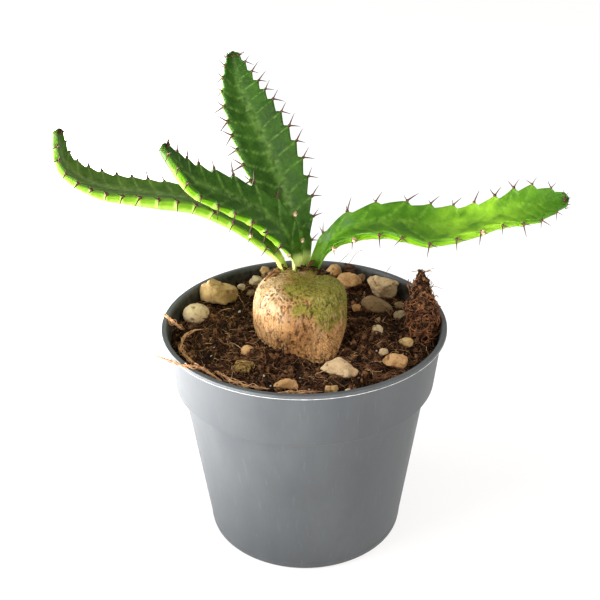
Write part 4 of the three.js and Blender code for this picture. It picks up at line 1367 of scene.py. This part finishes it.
# %% Geometry Nodes: spines
SPINE_SIDES = 6
SPINE_STEPS = 5
SPINE_POINT = 0.05
spines_tree, entry, exit_ = new_group("spines_on_teeth", "GeometryNodeTree", [
    ("Geometry", GEOMETRY, None),
    ("Length", FLOAT, 4.6 * MM),
    ("Base radius", FLOAT, 0.32 * MM),
    ("Bend", FLOAT, 14.0),
    ("Shield radius", FLOAT, 0.72 * MM),
    ("Material", MATERIAL, None),
], [("Geometry", GEOMETRY)])
thorn = node(spines_tree, "GeometryNodeMeshCone", {
    "Vertices": SPINE_SIDES, "Side Segments": SPINE_STEPS, "Radius Top": SPINE_POINT * MM,
    "Radius Bottom": entry.outputs["Base radius"], "Depth": entry.outputs["Length"],
})
place = node(spines_tree, "ShaderNodeSeparateXYZ",
             {0: node(spines_tree, "GeometryNodeInputPosition").outputs[0]})
square = node(spines_tree, "ShaderNodeMath", {0: place.outputs["Z"], 1: 2.0}, operation="POWER")
side = node(spines_tree, "ShaderNodeMath", {0: square.outputs[0], 1: entry.outputs["Bend"]},
            operation="MULTIPLY")
offset = node(spines_tree, "ShaderNodeCombineXYZ", {"X": side.outputs[0]})
bent = node(spines_tree, "GeometryNodeSetPosition", {
    "Geometry": thorn.outputs["Mesh"], "Offset": offset.outputs[0]})
share = node(spines_tree, "ShaderNodeMath", {0: place.outputs["Z"], 1: entry.outputs["Length"]},
             operation="DIVIDE")
marked = node(spines_tree, "GeometryNodeStoreNamedAttribute", {
    "Geometry": bent.outputs[0], "Name": "reach", "Value": share.outputs[0]},
    data_type="FLOAT", domain="POINT")
shield = node(spines_tree, "GeometryNodeMeshIcoSphere", {
    "Radius": entry.outputs["Shield radius"], "Subdivisions": 2})
squat = node(spines_tree, "GeometryNodeTransform", {
    "Geometry": shield.outputs["Mesh"], "Scale": (0.8, 1.0, 0.75)})
both = node(spines_tree, "GeometryNodeJoinGeometry")
spines_tree.links.new(marked.outputs[0], both.inputs[0])
spines_tree.links.new(squat.outputs[0], both.inputs[0])
aim = node(spines_tree, "GeometryNodeInputNamedAttribute", {"Name": "aim"},
           data_type="FLOAT_VECTOR")
own_size = node(spines_tree, "GeometryNodeInputNamedAttribute", {"Name": "size"},
                data_type="FLOAT")
turned_to = node(spines_tree, "FunctionNodeAlignRotationToVector", {"Vector": aim.outputs[0]},
                 axis="Z")
seats = node(spines_tree, "GeometryNodeMeshToPoints", {"Mesh": entry.outputs["Geometry"]})
placed = node(spines_tree, "GeometryNodeInstanceOnPoints", {
    "Points": seats.outputs[0], "Instance": both.outputs[0],
    "Rotation": turned_to.outputs[0], "Scale": own_size.outputs[0],
})
real = node(spines_tree, "GeometryNodeRealizeInstances", {"Geometry": placed.outputs[0]})
finish = node(spines_tree, "GeometryNodeSetMaterial", {
    "Geometry": real.outputs[0], "Material": entry.outputs["Material"]})
spines_tree.links.new(finish.outputs[0], exit_.inputs["Geometry"])
print("tree:", spines_tree.name, len(spines_tree.nodes), "nodes")

# %% Spine finish and spine seats
spine_material, tree, shader, color = two_tone(
    "spine_brown", 0.5, 2.2, 0.35, 0.65, tint(98, 62, 46), tint(70, 42, 32))
dark_end = spread(tree, reading(tree, "reach"), 0.2, 0.8)
paint(tree, shader, blend(tree, color, tint(48, 26, 22), dark_end))
TIP_SPINES = 22
# Degrees that the spines of a pair are turned from straight up, for each stem.
SPINE_TWIST = {"stem_upright": 65, "stem_left": 20, "stem_front": 35, "stem_right": 55}


def spine_seats(name, seed):
    """Places, directions and sizes of all spines on one stem."""
    gaps, _, _, rows = STEMS[name]
    length = arc_table(rows)[1][-1]
    places = tooth_places(length, gaps)
    place, across, up, along, width, depth = stem_frame(rows, places)
    chance = np.random.default_rng(seed)
    seats = []
    for i, distance in enumerate(places):
        maturity = float(ease(0, 0.25, distance / length))
        maturity *= 1 - 0.45 * float(ease(0.72, 1.0, distance / length))
        for side in (-1, 1):
            seat = place[i] + across[i] * side * (width[i] - 0.15) - up[i] * 0.05 * depth[i]
            lean = chance.uniform(0.1, 0.5)
            twist = math.radians(SPINE_TWIST[name] + chance.uniform(-15, 15))
            apart = up[i] * math.cos(twist) + along[i] * math.sin(twist)
            for way in (-1, 1):
                opening = chance.uniform(0.6, 0.95)
                aim = across[i] * side + apart * way * opening + along[i] * lean
                size = (0.45 + 0.6 * maturity) * chance.uniform(0.7, 1.12)
                seats.append((seat, aim / np.linalg.norm(aim), size))
    tip, across, up, along = [part[0] for part in stem_frame(rows, np.array([length - 0.6]))[:4]]
    for _ in range(TIP_SPINES):
        spread_out = chance.normal(size=3)
        aim = along * 1.1 + spread_out * 0.7
        seat = tip + across * spread_out[0] * 1.4 + up * spread_out[1] * 0.8
        seats.append((seat - up * 0.8, aim / np.linalg.norm(aim), chance.uniform(0.35, 0.6)))
    return seats


for name, seed in stem_seeds.items():
    seats = spine_seats(name, int(seed) + 40)
    host_mesh = bpy.data.meshes.new("spine_seats")
    host_mesh.from_pydata([tuple(seat * MM) for seat, _, _ in seats], [], [])
    layer = host_mesh.attributes.new("aim", "FLOAT_VECTOR", "POINT")
    layer.data.foreach_set("vector", np.array([aim for _, aim, _ in seats], np.float32).ravel())
    layer = host_mesh.attributes.new("size", "FLOAT", "POINT")
    layer.data.foreach_set("value", np.array([size for _, _, size in seats], np.float32))
    host = bpy.data.objects.new("spine_seats", host_mesh)
    bpy.context.scene.collection.objects.link(host)
    spines = grow(host, spines_tree, name.replace("stem", "spines"), {"Material": spine_material})
    bpy.data.objects.remove(host)
    register(spines, "stem_skin", name)

# %% [markdown]
# The lowest teeth of two margins carry dried flower buds, tan beads a little over a millimetre
# long. They are small balls drawn out along the tooth.

# %% Dried buds
bud_material = two_tone("dried_bud", 0.7, 0.8, 0.38, 0.62, tint(150, 112, 78),
                        tint(226, 206, 172))[0]
# Rows: stem, margin, tooth counted from the base.
BUDS = [("stem_front", 1, 0), ("stem_front", 1, 1), ("stem_front", -1, 0), ("stem_right", 1, 0),
        ("stem_right", 1, 1), ("stem_right", 1, 6), ("stem_left", -1, 1)]
BUD_SIZE = np.array([1.15, 0.75, 0.75])


def make_bud(stem_name, side, tooth):
    """Points and faces of one bud on a tooth."""
    gaps, _, _, rows = STEMS[stem_name]
    distance = tooth_places(arc_table(rows)[1][-1], gaps)[tooth]
    place, across, up, along, width, depth = stem_frame(rows, np.array([distance]))
    ball, faces = ball_points(3)
    ball = ball * (1 + 0.12 * lumpy(ball, 0.8, 2, tooth + 5.0))[:, None] * BUD_SIZE
    axes = np.array([across[0] * side, along[0], np.cross(across[0] * side, along[0])])
    seat = place[0] + across[0] * side * (width[0] + 0.5)
    seat = seat - up[0] * 0.05 * depth[0] + along[0] * 0.5
    return ball @ axes + seat, faces


for stem_name in ("stem_front", "stem_right", "stem_left"):
    shapes = [make_bud(*row) for row in BUDS if row[0] == stem_name]
    buds = make_piece(stem_name.replace("stem", "buds"), *join_shapes(shapes))
    set_outward(buds)
    buds.data.materials.append(bud_material)
    register(buds, "stem_skin", stem_name)

# %% [markdown]
# ## The stones
# Each stone is worked like a real one: a ball is pulled towards a box, soft flats are ground on it
# in a few directions, and lumps, grain and, on the pumice, pits are pressed in.

# %% Stone list
# Rows: name, centre, half sizes, turn about Z, tilt about X, squareness, slot, flats.
STONES = [
    ("stone_block", (-33, 27.6, 83.3), (6.8, 5.4, 5.8), 12, -6, 0.62, "stone_tan", 6),
    ("stone_egg", (-40.8, 12.4, 82.3), (5.0, 4.0, 3.6), 22, 8, 1.0, "stone_pale", 0),
    ("pebble_left_1", (-24.6, 35.4, 81.8), (1.7, 1.6, 1.5), 0, 0, 0.9, "stone_pale", 3),
    ("pebble_left_2", (-20.9, 32.0, 80.9), (2.0, 1.5, 1.2), 15, 0, 0.9, "stone_brown", 3),
    ("pebble_left_3", (-19.0, 39.8, 82.3), (2.8, 2.3, 2.2), -10, 0, 0.85, "stone_pale", 4),
    ("pebble_left_4", (-15.4, 44.4, 83.5), (2.3, 1.9, 2.8), 20, 0, 0.85, "stone_tan", 3),
    ("pebble_back", (12.7, 44.0, 84.1), (3.1, 2.4, 3.0), 0, 0, 0.85, "stone_ochre", 5),
    ("stone_tan", (17.8, 36.6, 83.1), (5.1, 3.5, 3.9), -8, 5, 0.8, "stone_ochre", 4),
    ("pebble_right_1", (23.4, 41.0, 82.8), (1.6, 1.6, 2.4), 0, 0, 0.9, "stone_brown", 3),
    ("stone_pumice", (31.8, 30.2, 83.4), (6.8, 4.2, 5.3), -24, 6, 0.7, "stone_pumice", 7),
    ("stone_long", (28.3, 18.9, 81.9), (6.3, 3.3, 3.2), -26, 0, 0.9, "stone_brown", 2),
    ("pebble_right_2", (36.9, 19.2, 81.2), (2.0, 1.6, 1.7), 0, 0, 0.85, "stone_brown", 4),
    ("pebble_right_3", (36.5, 12.4, 81.0), (2.5, 1.9, 1.9), 30, 0, 0.75, "stone_pale", 5),
    ("pebble_right_4", (27.7, 9.2, 80.4), (1.6, 1.4, 1.3), 0, 0, 0.85, "stone_brown", 3),
    ("pebble_right_5", (20.2, 17.6, 81.3), (1.9, 1.6, 1.5), 0, 0, 0.85, "stone_ochre", 3),
    ("stone_chip_right", (27.3, -0.4, 81.3), (2.7, 1.9, 2.3), 18, 0, 0.6, "stone_pale", 7),
    ("pebble_right_6", (36.8, -8.8, 81.1), (2.3, 1.8, 1.8), -10, 0, 0.75, "stone_tan", 5),
    ("pebble_right_7", (28.0, -15.6, 81.1), (1.7, 1.4, 1.5), 0, 0, 0.8, "stone_pumice", 3),
    ("stone_wedge_right", (31.2, -23.8, 81.9), (5.1, 3.4, 3.3), -35, 8, 0.65, "stone_ochre", 8),
    ("stone_wedge_front", (12.0, -28.8, 82.0), (6.3, 3.9, 3.3), -6, -6, 0.62, "stone_pumice", 7),
    ("stone_chip_front", (-6.0, -37.9, 81.5), (4.2, 2.1, 1.9), 14, 0, 0.6, "stone_ochre", 7),
    ("pebble_front_1", (-20.3, -15.6, 81.8), (2.5, 2.3, 2.2), 0, 0, 0.95, "stone_ochre", 3),
    ("pebble_front_2", (9.0, -40.2, 81.2), (2.5, 1.7, 1.6), 0, 0, 0.8, "stone_tan", 4),
    ("pebble_front_3", (14.3, -42.2, 81.2), (1.4, 1.2, 1.2), 0, 0, 0.8, "stone_pale", 3),
]


# %% Stone finish
def stone_material(name, main, second, fleck, rough=0.85):
    """Rough stone in two close colours with fine dark flecks and a grainy face."""
    material, tree, shader = new_material(name, rough, Specular_IOR_Level=0.3)
    broad = mask(tree, patches_group, 4.0, 0.36, 0.64)
    grain = mask(tree, patches_group, 0.45, 0.38, 0.62, (1, 1, 1), 3.0)
    color = blend(tree, main, second, broad)
    color = blend(tree, color, second, times(tree, grain, 0.4))
    spots = mask(tree, patches_group, 0.6, 0.63, 0.72, (1, 1, 1), 6.0)
    color = blend(tree, color, fleck, times(tree, spots, 0.75))
    seam = mask(tree, cracks_group, 5.5, 0.035, 0.0, (1, 1, 1), 2.0)
    color = blend(tree, color, fleck, times(tree, seam, 0.35))
    # Pits painted with the dark fleck colour: partly the stone's own darker colour, partly painted
    # shade.
    hollow = reading(tree, "hollow")
    color = blend(tree, color, fleck, times(tree, hollow, 0.7))
    # Darker brown towards the bottom, where the stone meets the soil.
    low = reading(tree, "low")
    color = blend(tree, color, tint(70, 48, 32), times(tree, low, 0.75))
    paint(tree, shader, color)
    bumps(tree, shader, [(grain, 0.12, 0.55), (broad, 0.4, 0.3)])
    return material


stone_materials = {
    "stone_pale": stone_material("stone_pale", tint(177, 156, 123), tint(194, 174, 141),
                                 tint(103, 76, 49)),
    "stone_tan": stone_material("stone_tan", tint(164, 132, 88), tint(190, 162, 116),
                                tint(96, 65, 43)),
    "stone_ochre": stone_material("stone_ochre", tint(163, 123, 79), tint(184, 149, 107),
                                  tint(101, 63, 33)),
    "stone_brown": stone_material("stone_brown", tint(126, 101, 73), tint(146, 121, 90),
                                  tint(72, 51, 33), 0.7),
    "stone_pumice": stone_material("stone_pumice", tint(176, 146, 110), tint(198, 174, 140),
                                   tint(82, 56, 34)),
}


# %% Shaping a stone
LARGE_STONE = 3.9
FINE_BALL = 5
COARSE_BALL = 4
FLAT_NEAR = 0.48
FLAT_FAR = 0.78
GRIND = 0.95


def make_stone(row, seed):
    """One stone, with its pits and its darker foot by the soil stored on its points."""
    name, centre, half_sizes, turn, tilt, squareness, slot, flats = row
    size = max(half_sizes)
    deeply_pitted = slot == "stone_pumice" and size > 5
    ball, faces = ball_points(FINE_BALL if size > LARGE_STONE else COARSE_BALL)
    boxed = np.sign(ball) * np.abs(ball) ** squareness
    boxed /= np.linalg.norm(boxed, axis=1, keepdims=True)
    boxed *= 1 + 0.16 * (1 - squareness)
    chance = np.random.default_rng(seed)
    for _ in range(flats):
        way = chance.normal(size=3)
        way /= np.linalg.norm(way)
        over = boxed @ way - chance.uniform(FLAT_NEAR, FLAT_FAR)
        boxed -= np.outer(np.clip(over, 0, None) * GRIND, way)
    spots = boxed * np.array(half_sizes)
    rough = 0.3 if flats < 3 else 1.0
    lumps = lumpy(spots, size * 0.8, 3, seed * 1.7)
    fine = lumpy(spots, 0.9, 3, seed * 0.9)
    pit_size = 1.9 if deeply_pitted else 2.6
    pits = 1 - ease(0.14, 0.4, cells(spots, pit_size, seed + 0.3)[:, 0])
    pits *= ease(-0.1, 0.25, lumpy(spots, 4.0, 2, seed + 5.0))
    depth = 1.2 if deeply_pitted else 0.35
    spots += ball * (size * (0.17 * lumps * rough + 0.04) + 0.12 * fine - depth * pits)[:, None]
    placing = (Matrix.Translation(centre) @ Matrix.Rotation(math.radians(turn), 4, "Z")
               @ Matrix.Rotation(math.radians(tilt), 4, "X"))
    matrix = np.array(placing)
    spots = spots @ matrix[:3, :3].T + matrix[:3, 3]
    ground = soil_height(spots[:, 0], spots[:, 1])
    low = 1 - ease(0.2, 1.5, spots[:, 2] - ground + 0.6 * lumps)
    piece = make_piece(name.replace("stone_", "rock_"), spots, faces,
                       {"hollow": pits, "low": low})
    piece.data.materials.append(stone_materials[slot])
    register(piece, slot, name)


for seed, row in enumerate(STONES, 3):
    make_stone(row, seed)

# %% [markdown]
# ## Fibre, bark and the root clod
# The loose bits are what make a pot look lived in: coir strands frayed from the liner, chips of
# bark, and a clod of roots and peat that has been pushed up against the wall.

# %% Coir finish
coir_material, tree, shader = new_material("coir_strand", 0.7, Specular_IOR_Level=0.3)
along_fibre = mask(tree, patches_group, 1.6, 0.35, 0.65, (1, 1, 1), 2.0)
color = blend(tree, tint(158, 112, 76), tint(208, 170, 132), along_fibre)
dark_bits = mask(tree, patches_group, 0.7, 0.6, 0.7, (1, 1, 1), 5.0)
paint(tree, shader, blend(tree, color, tint(96, 58, 36), dark_bits))
bumps(tree, shader, [(along_fibre, 0.15, 0.6)])

# %% Coir strands
# Rows: name, radius, flatness, points along the strand.
STRANDS = [
    ("coir_out_left", 0.3, 0.6, [
        (-51, -28.5, 88.2), (-44.3, -32.6, 87.8), (-39.2, -34.8, 87.4), (-36, -34.4, 87.1),
        (-32.6, -34.8, 85.2), (-28.2, -37.2, 83)]),
    ("coir_over_rim", 0.42, 0.5, [
        (-51.4, 3.2, 87.3), (-48.6, -0.6, 86.8), (-45.9, -2.2, 85.2), (-44, -2.3, 83.6)]),
    ("coir_loop_left", 0.24, 0.8, [
        (-37.3, 0.9, 82), (-41.1, -1.6, 82.5), (-43.2, -6, 82.7), (-43.8, -11.1, 82.8),
        (-43.2, -16.4, 82.7), (-40.2, -22, 82.6), (-36.8, -26, 82.4)]),
    ("coir_front_left", 0.3, 0.6, [
        (-30.3, -29.7, 82.4), (-27.1, -33.8, 82.6), (-22.6, -37.8, 82.7), (-17.4, -40.6, 82.8),
        (-12.2, -42.2, 82.8)]),
    ("coir_front", 0.34, 0.6, [
        (-8.8, -44.3, 82.8), (-4, -44.9, 83.1), (0.4, -44.8, 83.1), (5.2, -43.9, 82.7)]),
]


STRAND_STEPS = 70
FRAYS = 7
FRAY_RADIUS = 0.12
FRAY_WANDER = 1.6
FRAY_STEP = np.array([0.2, -0.12, 0.1])


def strand_shape(points, radius, flat, seed, wander=0.35):
    """A strand that wanders a little off its line and thins to its ends."""
    shares = np.linspace(0, 1, STRAND_STEPS)
    line = through(points, shares)
    drift = np.stack([lumpy(line, 3.0, 2, seed + axis * 9.0) for axis in range(3)], axis=1)
    line = line + drift * wander * np.sin(shares * math.pi)[:, None]
    thickness = radius * (0.55 + 0.45 * np.sin(shares * math.pi) ** 0.6)
    thickness *= 1 + 0.3 * lumpy(line, 1.0, 2, seed + 30.0)
    return tube(line, thickness, 8, False, flat)


for seed, (name, radius, flat, points) in enumerate(STRANDS):
    shapes = [strand_shape(points, radius, flat, seed)]
    for fray in range(FRAYS):
        beside = np.array(points) + FRAY_STEP * (fray - FRAYS // 2)
        shapes.append(strand_shape(beside, FRAY_RADIUS, 1.0, seed * 9 + 50 + fray, FRAY_WANDER))
    strand_piece = make_piece(name.replace("coir", "fibre"), *join_shapes(shapes))
    set_outward(strand_piece)
    keep_in_pot(strand_piece)
    strand_piece.data.materials.append(coir_material)
    register(strand_piece, "coir", name)

# %% [markdown]
# A few short twigs lie on the caudex's crown, and hair-thin coir fibres stand up behind it and on
# the clod. They are thin strands made in the same way.

# %% Fine hairs and twigs
# Rows: name, slot, frame node, radius, material, points along each hair or twig.
HAIRS = [
    ("crown_twigs", "bark", "caudex", 0.6, fibre_material, [
        [(-13.6, 1.0, 102.4), (-11.4, 3.4, 103.6), (-9.2, 5.8, 104.2), (-7.4, 8.0, 104.6)],
        [(-14.2, 0.2, 101.8), (-11.6, 1.4, 103.0), (-9.4, 2.4, 103.9)],
        [(-12.6, 5.2, 102.0), (-10.4, 4.2, 103.6), (-8.4, 3.2, 104.0)],
        [(1.6, 8.4, 103.4), (3.8, 10.6, 105.2), (6.6, 12.4, 104.6)]]),
    ("hairs_back", "coir", "soil", 0.09, fibre_material, [
        [(16, 42, 84), (18.5, 44.5, 88), (22.4, 47, 91.5), (25, 47.4, 92.4)],
        [(12, 43.5, 85), (16, 45.5, 89.6), (19.4, 48.8, 90.6)],
        [(31, 36, 84), (33.4, 38.4, 86.6), (35.2, 38.2, 90)],
        [(43, 24, 90), (47, 26, 92.6), (50.5, 24, 95)],
        [(42, 18, 88), (47.5, 17, 91), (52.5, 15, 90.4)]]),
]
for seed, (name, slot, stands_for, radius, material, lines) in enumerate(HAIRS):
    shapes = [strand_shape(line, radius, 0.9, seed * 5 + index, 0.5)
              for index, line in enumerate(lines)]
    hairs = make_piece(name, *join_shapes(shapes))
    set_outward(hairs)
    hairs.data.materials.append(material)
    register(hairs, slot, stands_for)

# %% [markdown]
# Chips of bark and a strip of wood are squared balls too, with ridges along them and torn ends.

# %% Bark chips and the wood strip
bark_chip_material = ridged("bark_chip", 0.85, 0.9, 0.4, 0.62, (3, 1, 1), tint(46, 32, 24),
                            tint(104, 72, 50))
wood_material = ridged("dry_wood", 0.8, 0.8, 0.4, 0.62, (4, 1, 1), tint(112, 88, 60),
                       tint(176, 148, 108))
# Rows: name, centre, half sizes, turn about Z, tilt about X, finish.
CHIPS = [
    ("wood_strip", (-7.4, 43.2, 84.2), (3.4, 1.1, 2.1), 12, 0, wood_material),
    ("bark_chip_back", (18.8, 43.9, 85.0), (2.6, 1.1, 3.0), -18, 12, bark_chip_material),
    ("bark_chip_left", (-41.6, 4.0, 81.2), (2.4, 1.1, 0.9), 60, 0, bark_chip_material),
]
for seed, (name, centre, half_sizes, turn, tilt, material) in enumerate(CHIPS):
    ball, faces = ball_points(4)
    spots = np.sign(ball) * np.abs(ball) ** 0.55
    spots = spots / np.linalg.norm(spots, axis=1, keepdims=True) * np.array(half_sizes) * 1.08
    torn = lumpy(spots, 0.9, 3, seed * 3.1, (3, 1, 1))
    ends = ease(0.45, 1.0, np.abs(ball[:, 2]) if half_sizes[2] > 2 else np.abs(ball[:, 0]))
    spots += ball * (0.3 * torn)[:, None]
    spots *= 1 + (0.35 * ends * lumpy(ball, 0.35, 2, seed + 4.0))[:, None]
    matrix = np.array(Matrix.Rotation(math.radians(turn), 3, "Z")
                      @ Matrix.Rotation(math.radians(tilt), 3, "X"))
    spots = spots @ matrix.T + np.array(centre)
    chip = make_piece(name.replace("chip", "bit").replace("strip", "sliver"), spots, faces)
    chip.data.materials.append(material)
    register(chip, "bark", name)

# %% [markdown]
# The clod and the yellow fibre lump share one way of making: a lumpy core shaped like the frame's
# solid, then crumbs and looping fibres scattered over it.

# %% Root clod core
CLOD_FOOT = np.array([43.6, -5.4, 77.6])
CLOD_HEAD = np.array([43.0, 8.6, 102])
CLOD_FOOT_RADIUS = 6.8
CLOD_HEAD_RADIUS = 3.1
CLOD_ROWS = 70
CLOD_ROUND = 64
CLOD_CLEARANCE = 0.7


def clod_core():
    """The clod as a grid of rings from foot to head, kept inside the pot's wall."""
    shares = np.linspace(0.0, 1.0, CLOD_ROWS)
    angles = np.arange(CLOD_ROUND) / CLOD_ROUND * 2 * math.pi
    body = np.sqrt(np.clip(1 - (2 * shares - 1) ** 2, 0.002, 1))
    radius = (CLOD_FOOT_RADIUS + (CLOD_HEAD_RADIUS - CLOD_FOOT_RADIUS) * shares) * body
    middle = CLOD_FOOT + (CLOD_HEAD - CLOD_FOOT) * shares[:, None]
    ring = np.stack([np.cos(angles), np.sin(angles), 0 * angles], axis=1)
    grid = middle[:, None, :] + radius[:, None, None] * ring[None]
    rough = lumpy(grid.reshape(-1, 3), 4.0, 3, 2.0) + 0.5 * lumpy(grid.reshape(-1, 3), 1.2, 3, 6.0)
    grid += ring_normals(grid) * (0.9 * rough.reshape(radius.size, -1) - 0.5)[:, :, None]
    reach = np.hypot(grid[:, :, 0], grid[:, :, 1])
    limit = wall_radius(np.minimum(grid[:, :, 2], POT_HEIGHT)) - CLOD_CLEARANCE
    grid[:, :, :2] *= np.minimum(1, limit / reach)[:, :, None]
    return grid


clod_grid = clod_core()
clod_points = clod_grid.reshape(-1, 3)
clod_faces = ring_faces(*clod_grid.shape[:2])
clod_faces.append(tuple(range(CLOD_ROUND))[::-1])
clod_faces.append(tuple(range(len(clod_points) - CLOD_ROUND, len(clod_points))))
clod = make_piece("clod_core", clod_points, clod_faces)
clod.data.materials.append(peat_material("peat_clod", tint(36, 24, 18), tint(82, 54, 38), 9.0))
register(clod, "root_fibre", "root_clod")

# %% Clod crumbs and fibres
CLOD_NECK = 99
NECK_COVER = 0.6
clod_fibre_material, tree, shader, color = two_tone(
    "clod_fibre", 0.75, 2.4, 0.38, 0.62, tint(70, 42, 28), tint(158, 106, 68))
pale = mask(tree, patches_group, 4.0, 0.6, 0.68, (1, 1, 1), 4.0)
paint(tree, shader, blend(tree, color, tint(186, 136, 90), pale))
clod_cover = np.ones(clod_grid.shape[:2])
clod_cover[clod_grid[:, :, 2] > CLOD_NECK] = NECK_COVER
clod_host = scatter_host(clod_grid, clod_cover)
scatter(clod_host, lumps_tree, "clod_crumbs", "root_fibre", "root_clod", crumb_material, {
    "Per square cm": 75.0, "Smallest": 0.35, "Largest": 1.3, "Ruggedness": 0.9,
    "Flatness": 0.7, "Seed": 6})
low_cover = scatter_host(clod_grid, ease(-97, -84, -clod_grid[:, :, 2]) * 0.9 + 0.1)
scatter(low_cover, fibres_tree, "clod_fibres", "root_fibre", "root_clod", clod_fibre_material, {
    "Per square cm": 70.0, "Shortest": 3.0, "Longest": 8.0, "Slimness": 0.019, "Bow": 0.4,
    "Lift": 0.35, "Curl": 0.8, "Curl size": 3.0, "Seed": 3})
bpy.data.objects.remove(clod_host)
bpy.data.objects.remove(low_cover)

# %% The yellow fibre lump
LUMP_CENTRE = np.array([-21.3, -25.8, 81.4])
LUMP_HALF_SIZES = np.array([3.2, 2.0, 1.6])
LUMP_TURN = math.radians(25)
ball, faces = ball_points(4)
spots = ball * LUMP_HALF_SIZES
spots += ball * (0.5 * lumpy(spots, 1.4, 3, 3.0))[:, None]
cosine, sine = math.cos(LUMP_TURN), math.sin(LUMP_TURN)
spots = spots @ np.array([[cosine, sine, 0], [-sine, cosine, 0], [0, 0, 1]]) + LUMP_CENTRE
lump_material = ridged("coir_lump", 0.85, 0.8, 0.38, 0.6, (2.5, 1, 1), tint(120, 94, 50),
                       tint(190, 160, 100))
lump = make_piece("coir_lump", spots, faces, {"cover": np.ones(len(spots))})
lump.data.materials.append(lump_material)
scatter(lump, fibres_tree, "coir_lump_fibres", "coir", "fibre_chip", lump_material, {
    "Per square cm": 130.0, "Shortest": 1.5, "Longest": 4.0, "Slimness": 0.045, "Bow": 0.4,
    "Lift": 0.3, "Curl": 0.3, "Curl size": 2.0, "Seed": 7})
register(lump, "coir", "fibre_chip")

# %% [markdown]
# ## Floor, light and camera
# The object stands on a plain white floor that glows a little, as a lit sheet of paper does, and
# glows most well to the left, out of view, so that the left side of the pot is the bright one. A
# soft lamp stands high on the left, a wider one fills the front from the right, and a low one on
# the left works as a window.

# %% Floor
FLOOR_HALF = 3.0
GLOW_EDGE_LEFT = -0.45
GLOW_EDGE_RIGHT = -0.03
GLOW_LEFT = 14.5
GLOW_REST = 0.61
floor_corners = [(-FLOOR_HALF, -FLOOR_HALF, 0), (FLOOR_HALF, -FLOOR_HALF, 0),
                 (FLOOR_HALF, FLOOR_HALF, 0), (-FLOOR_HALF, FLOOR_HALF, 0)]
floor_mesh = bpy.data.meshes.new("floor")
floor_mesh.from_pydata(floor_corners, [], [(0, 1, 2, 3)])
floor = bpy.data.objects.new("floor", floor_mesh)
bpy.context.scene.collection.objects.link(floor)
floor_material, tree, shader = new_material("floor_white", 0.9)
shader.inputs["Base Color"].default_value = (0.33, 0.33, 0.33, 1)
shader.inputs["Emission Color"].default_value = (1, 0.985, 0.98, 1)
across_floor = node(tree, "ShaderNodeSeparateXYZ", {
    0: node(tree, "ShaderNodeTexCoord").outputs["Object"]}).outputs["X"]
brighter_left = node(tree, "ShaderNodeMapRange", {
    "Value": across_floor, "From Min": GLOW_EDGE_LEFT, "From Max": GLOW_EDGE_RIGHT,
    "To Min": GLOW_LEFT, "To Max": GLOW_REST}, interpolation_type="SMOOTHSTEP")
tree.links.new(brighter_left.outputs[0], shader.inputs["Emission Strength"])
floor.data.materials.append(floor_material)
print("floor side:", 2 * FLOOR_HALF, "m")

# %% Light
SURROUND_STRENGTH = 0.52
world = bpy.data.worlds.new("studio")
world.use_nodes = True
background = world.node_tree.nodes["Background"]
background.inputs["Color"].default_value = (1.0, 0.985, 0.965, 1)
background.inputs["Strength"].default_value = SURROUND_STRENGTH
bpy.context.scene.world = world


def soft_light(name, place, target, size, color, watts):
    """A square area light at a place in metres, turned to its target."""
    data = bpy.data.lights.new(name, "AREA")
    data.size = size
    data.energy = watts
    data.color = color
    lamp = bpy.data.objects.new(name, data)
    lamp.location = place
    lamp.rotation_euler = (Vector(target) - Vector(place)).to_track_quat("-Z", "Y").to_euler()
    bpy.context.scene.collection.objects.link(lamp)
    print("lamp:", name, watts, "W")


soft_light("key", (-0.72, -0.42, 0.8), (0, 0, 0.1), 0.5, (0.98, 0.99, 1.0), 4.8)
soft_light("fill", (0.55, -0.9, 0.6), (0, 0, 0.1), 0.8, (1.0, 0.96, 0.9), 6.2)
soft_light("window", (-1.0, -0.05, 0.22), (0, 0, 0.06), 0.8, (0.94, 0.98, 1.0), 10.5)

# %% [markdown]
# The camera looks down on the plant from in front, about 27 degrees above level, with a mild
# short-telephoto lens and a hair of roll.

# %% Camera
ELEVATION = 27.14
DISTANCE = 403.6
ROLL = -0.59
FOCAL_LENGTH = 59.74
AIM_X = -1.41
AIM_UP = 83.71
lens = bpy.data.cameras.new("camera")
lens.sensor_width = 36
lens.lens = FOCAL_LENGTH
lens.clip_start = 0.01
camera = bpy.data.objects.new("camera", lens)
raised = math.radians(ELEVATION)
aim_point = Vector((AIM_X, AIM_UP * math.sin(raised), AIM_UP * math.cos(raised)))
back = Vector((0, -math.cos(raised), math.sin(raised)))
camera.location = (aim_point + back * DISTANCE) * MM
camera.rotation_euler = (Matrix.Rotation(math.radians(90 - ELEVATION), 3, "X")
                         @ Matrix.Rotation(math.radians(ROLL), 3, "Z")).to_euler()
bpy.context.scene.collection.objects.link(camera)
bpy.context.scene.camera = camera
bpy.context.scene.view_settings.view_transform = "Standard"
bpy.context.scene.view_settings.look = "Medium High Contrast"
print("camera at", [round(value, 3) for value in camera.location], "m")
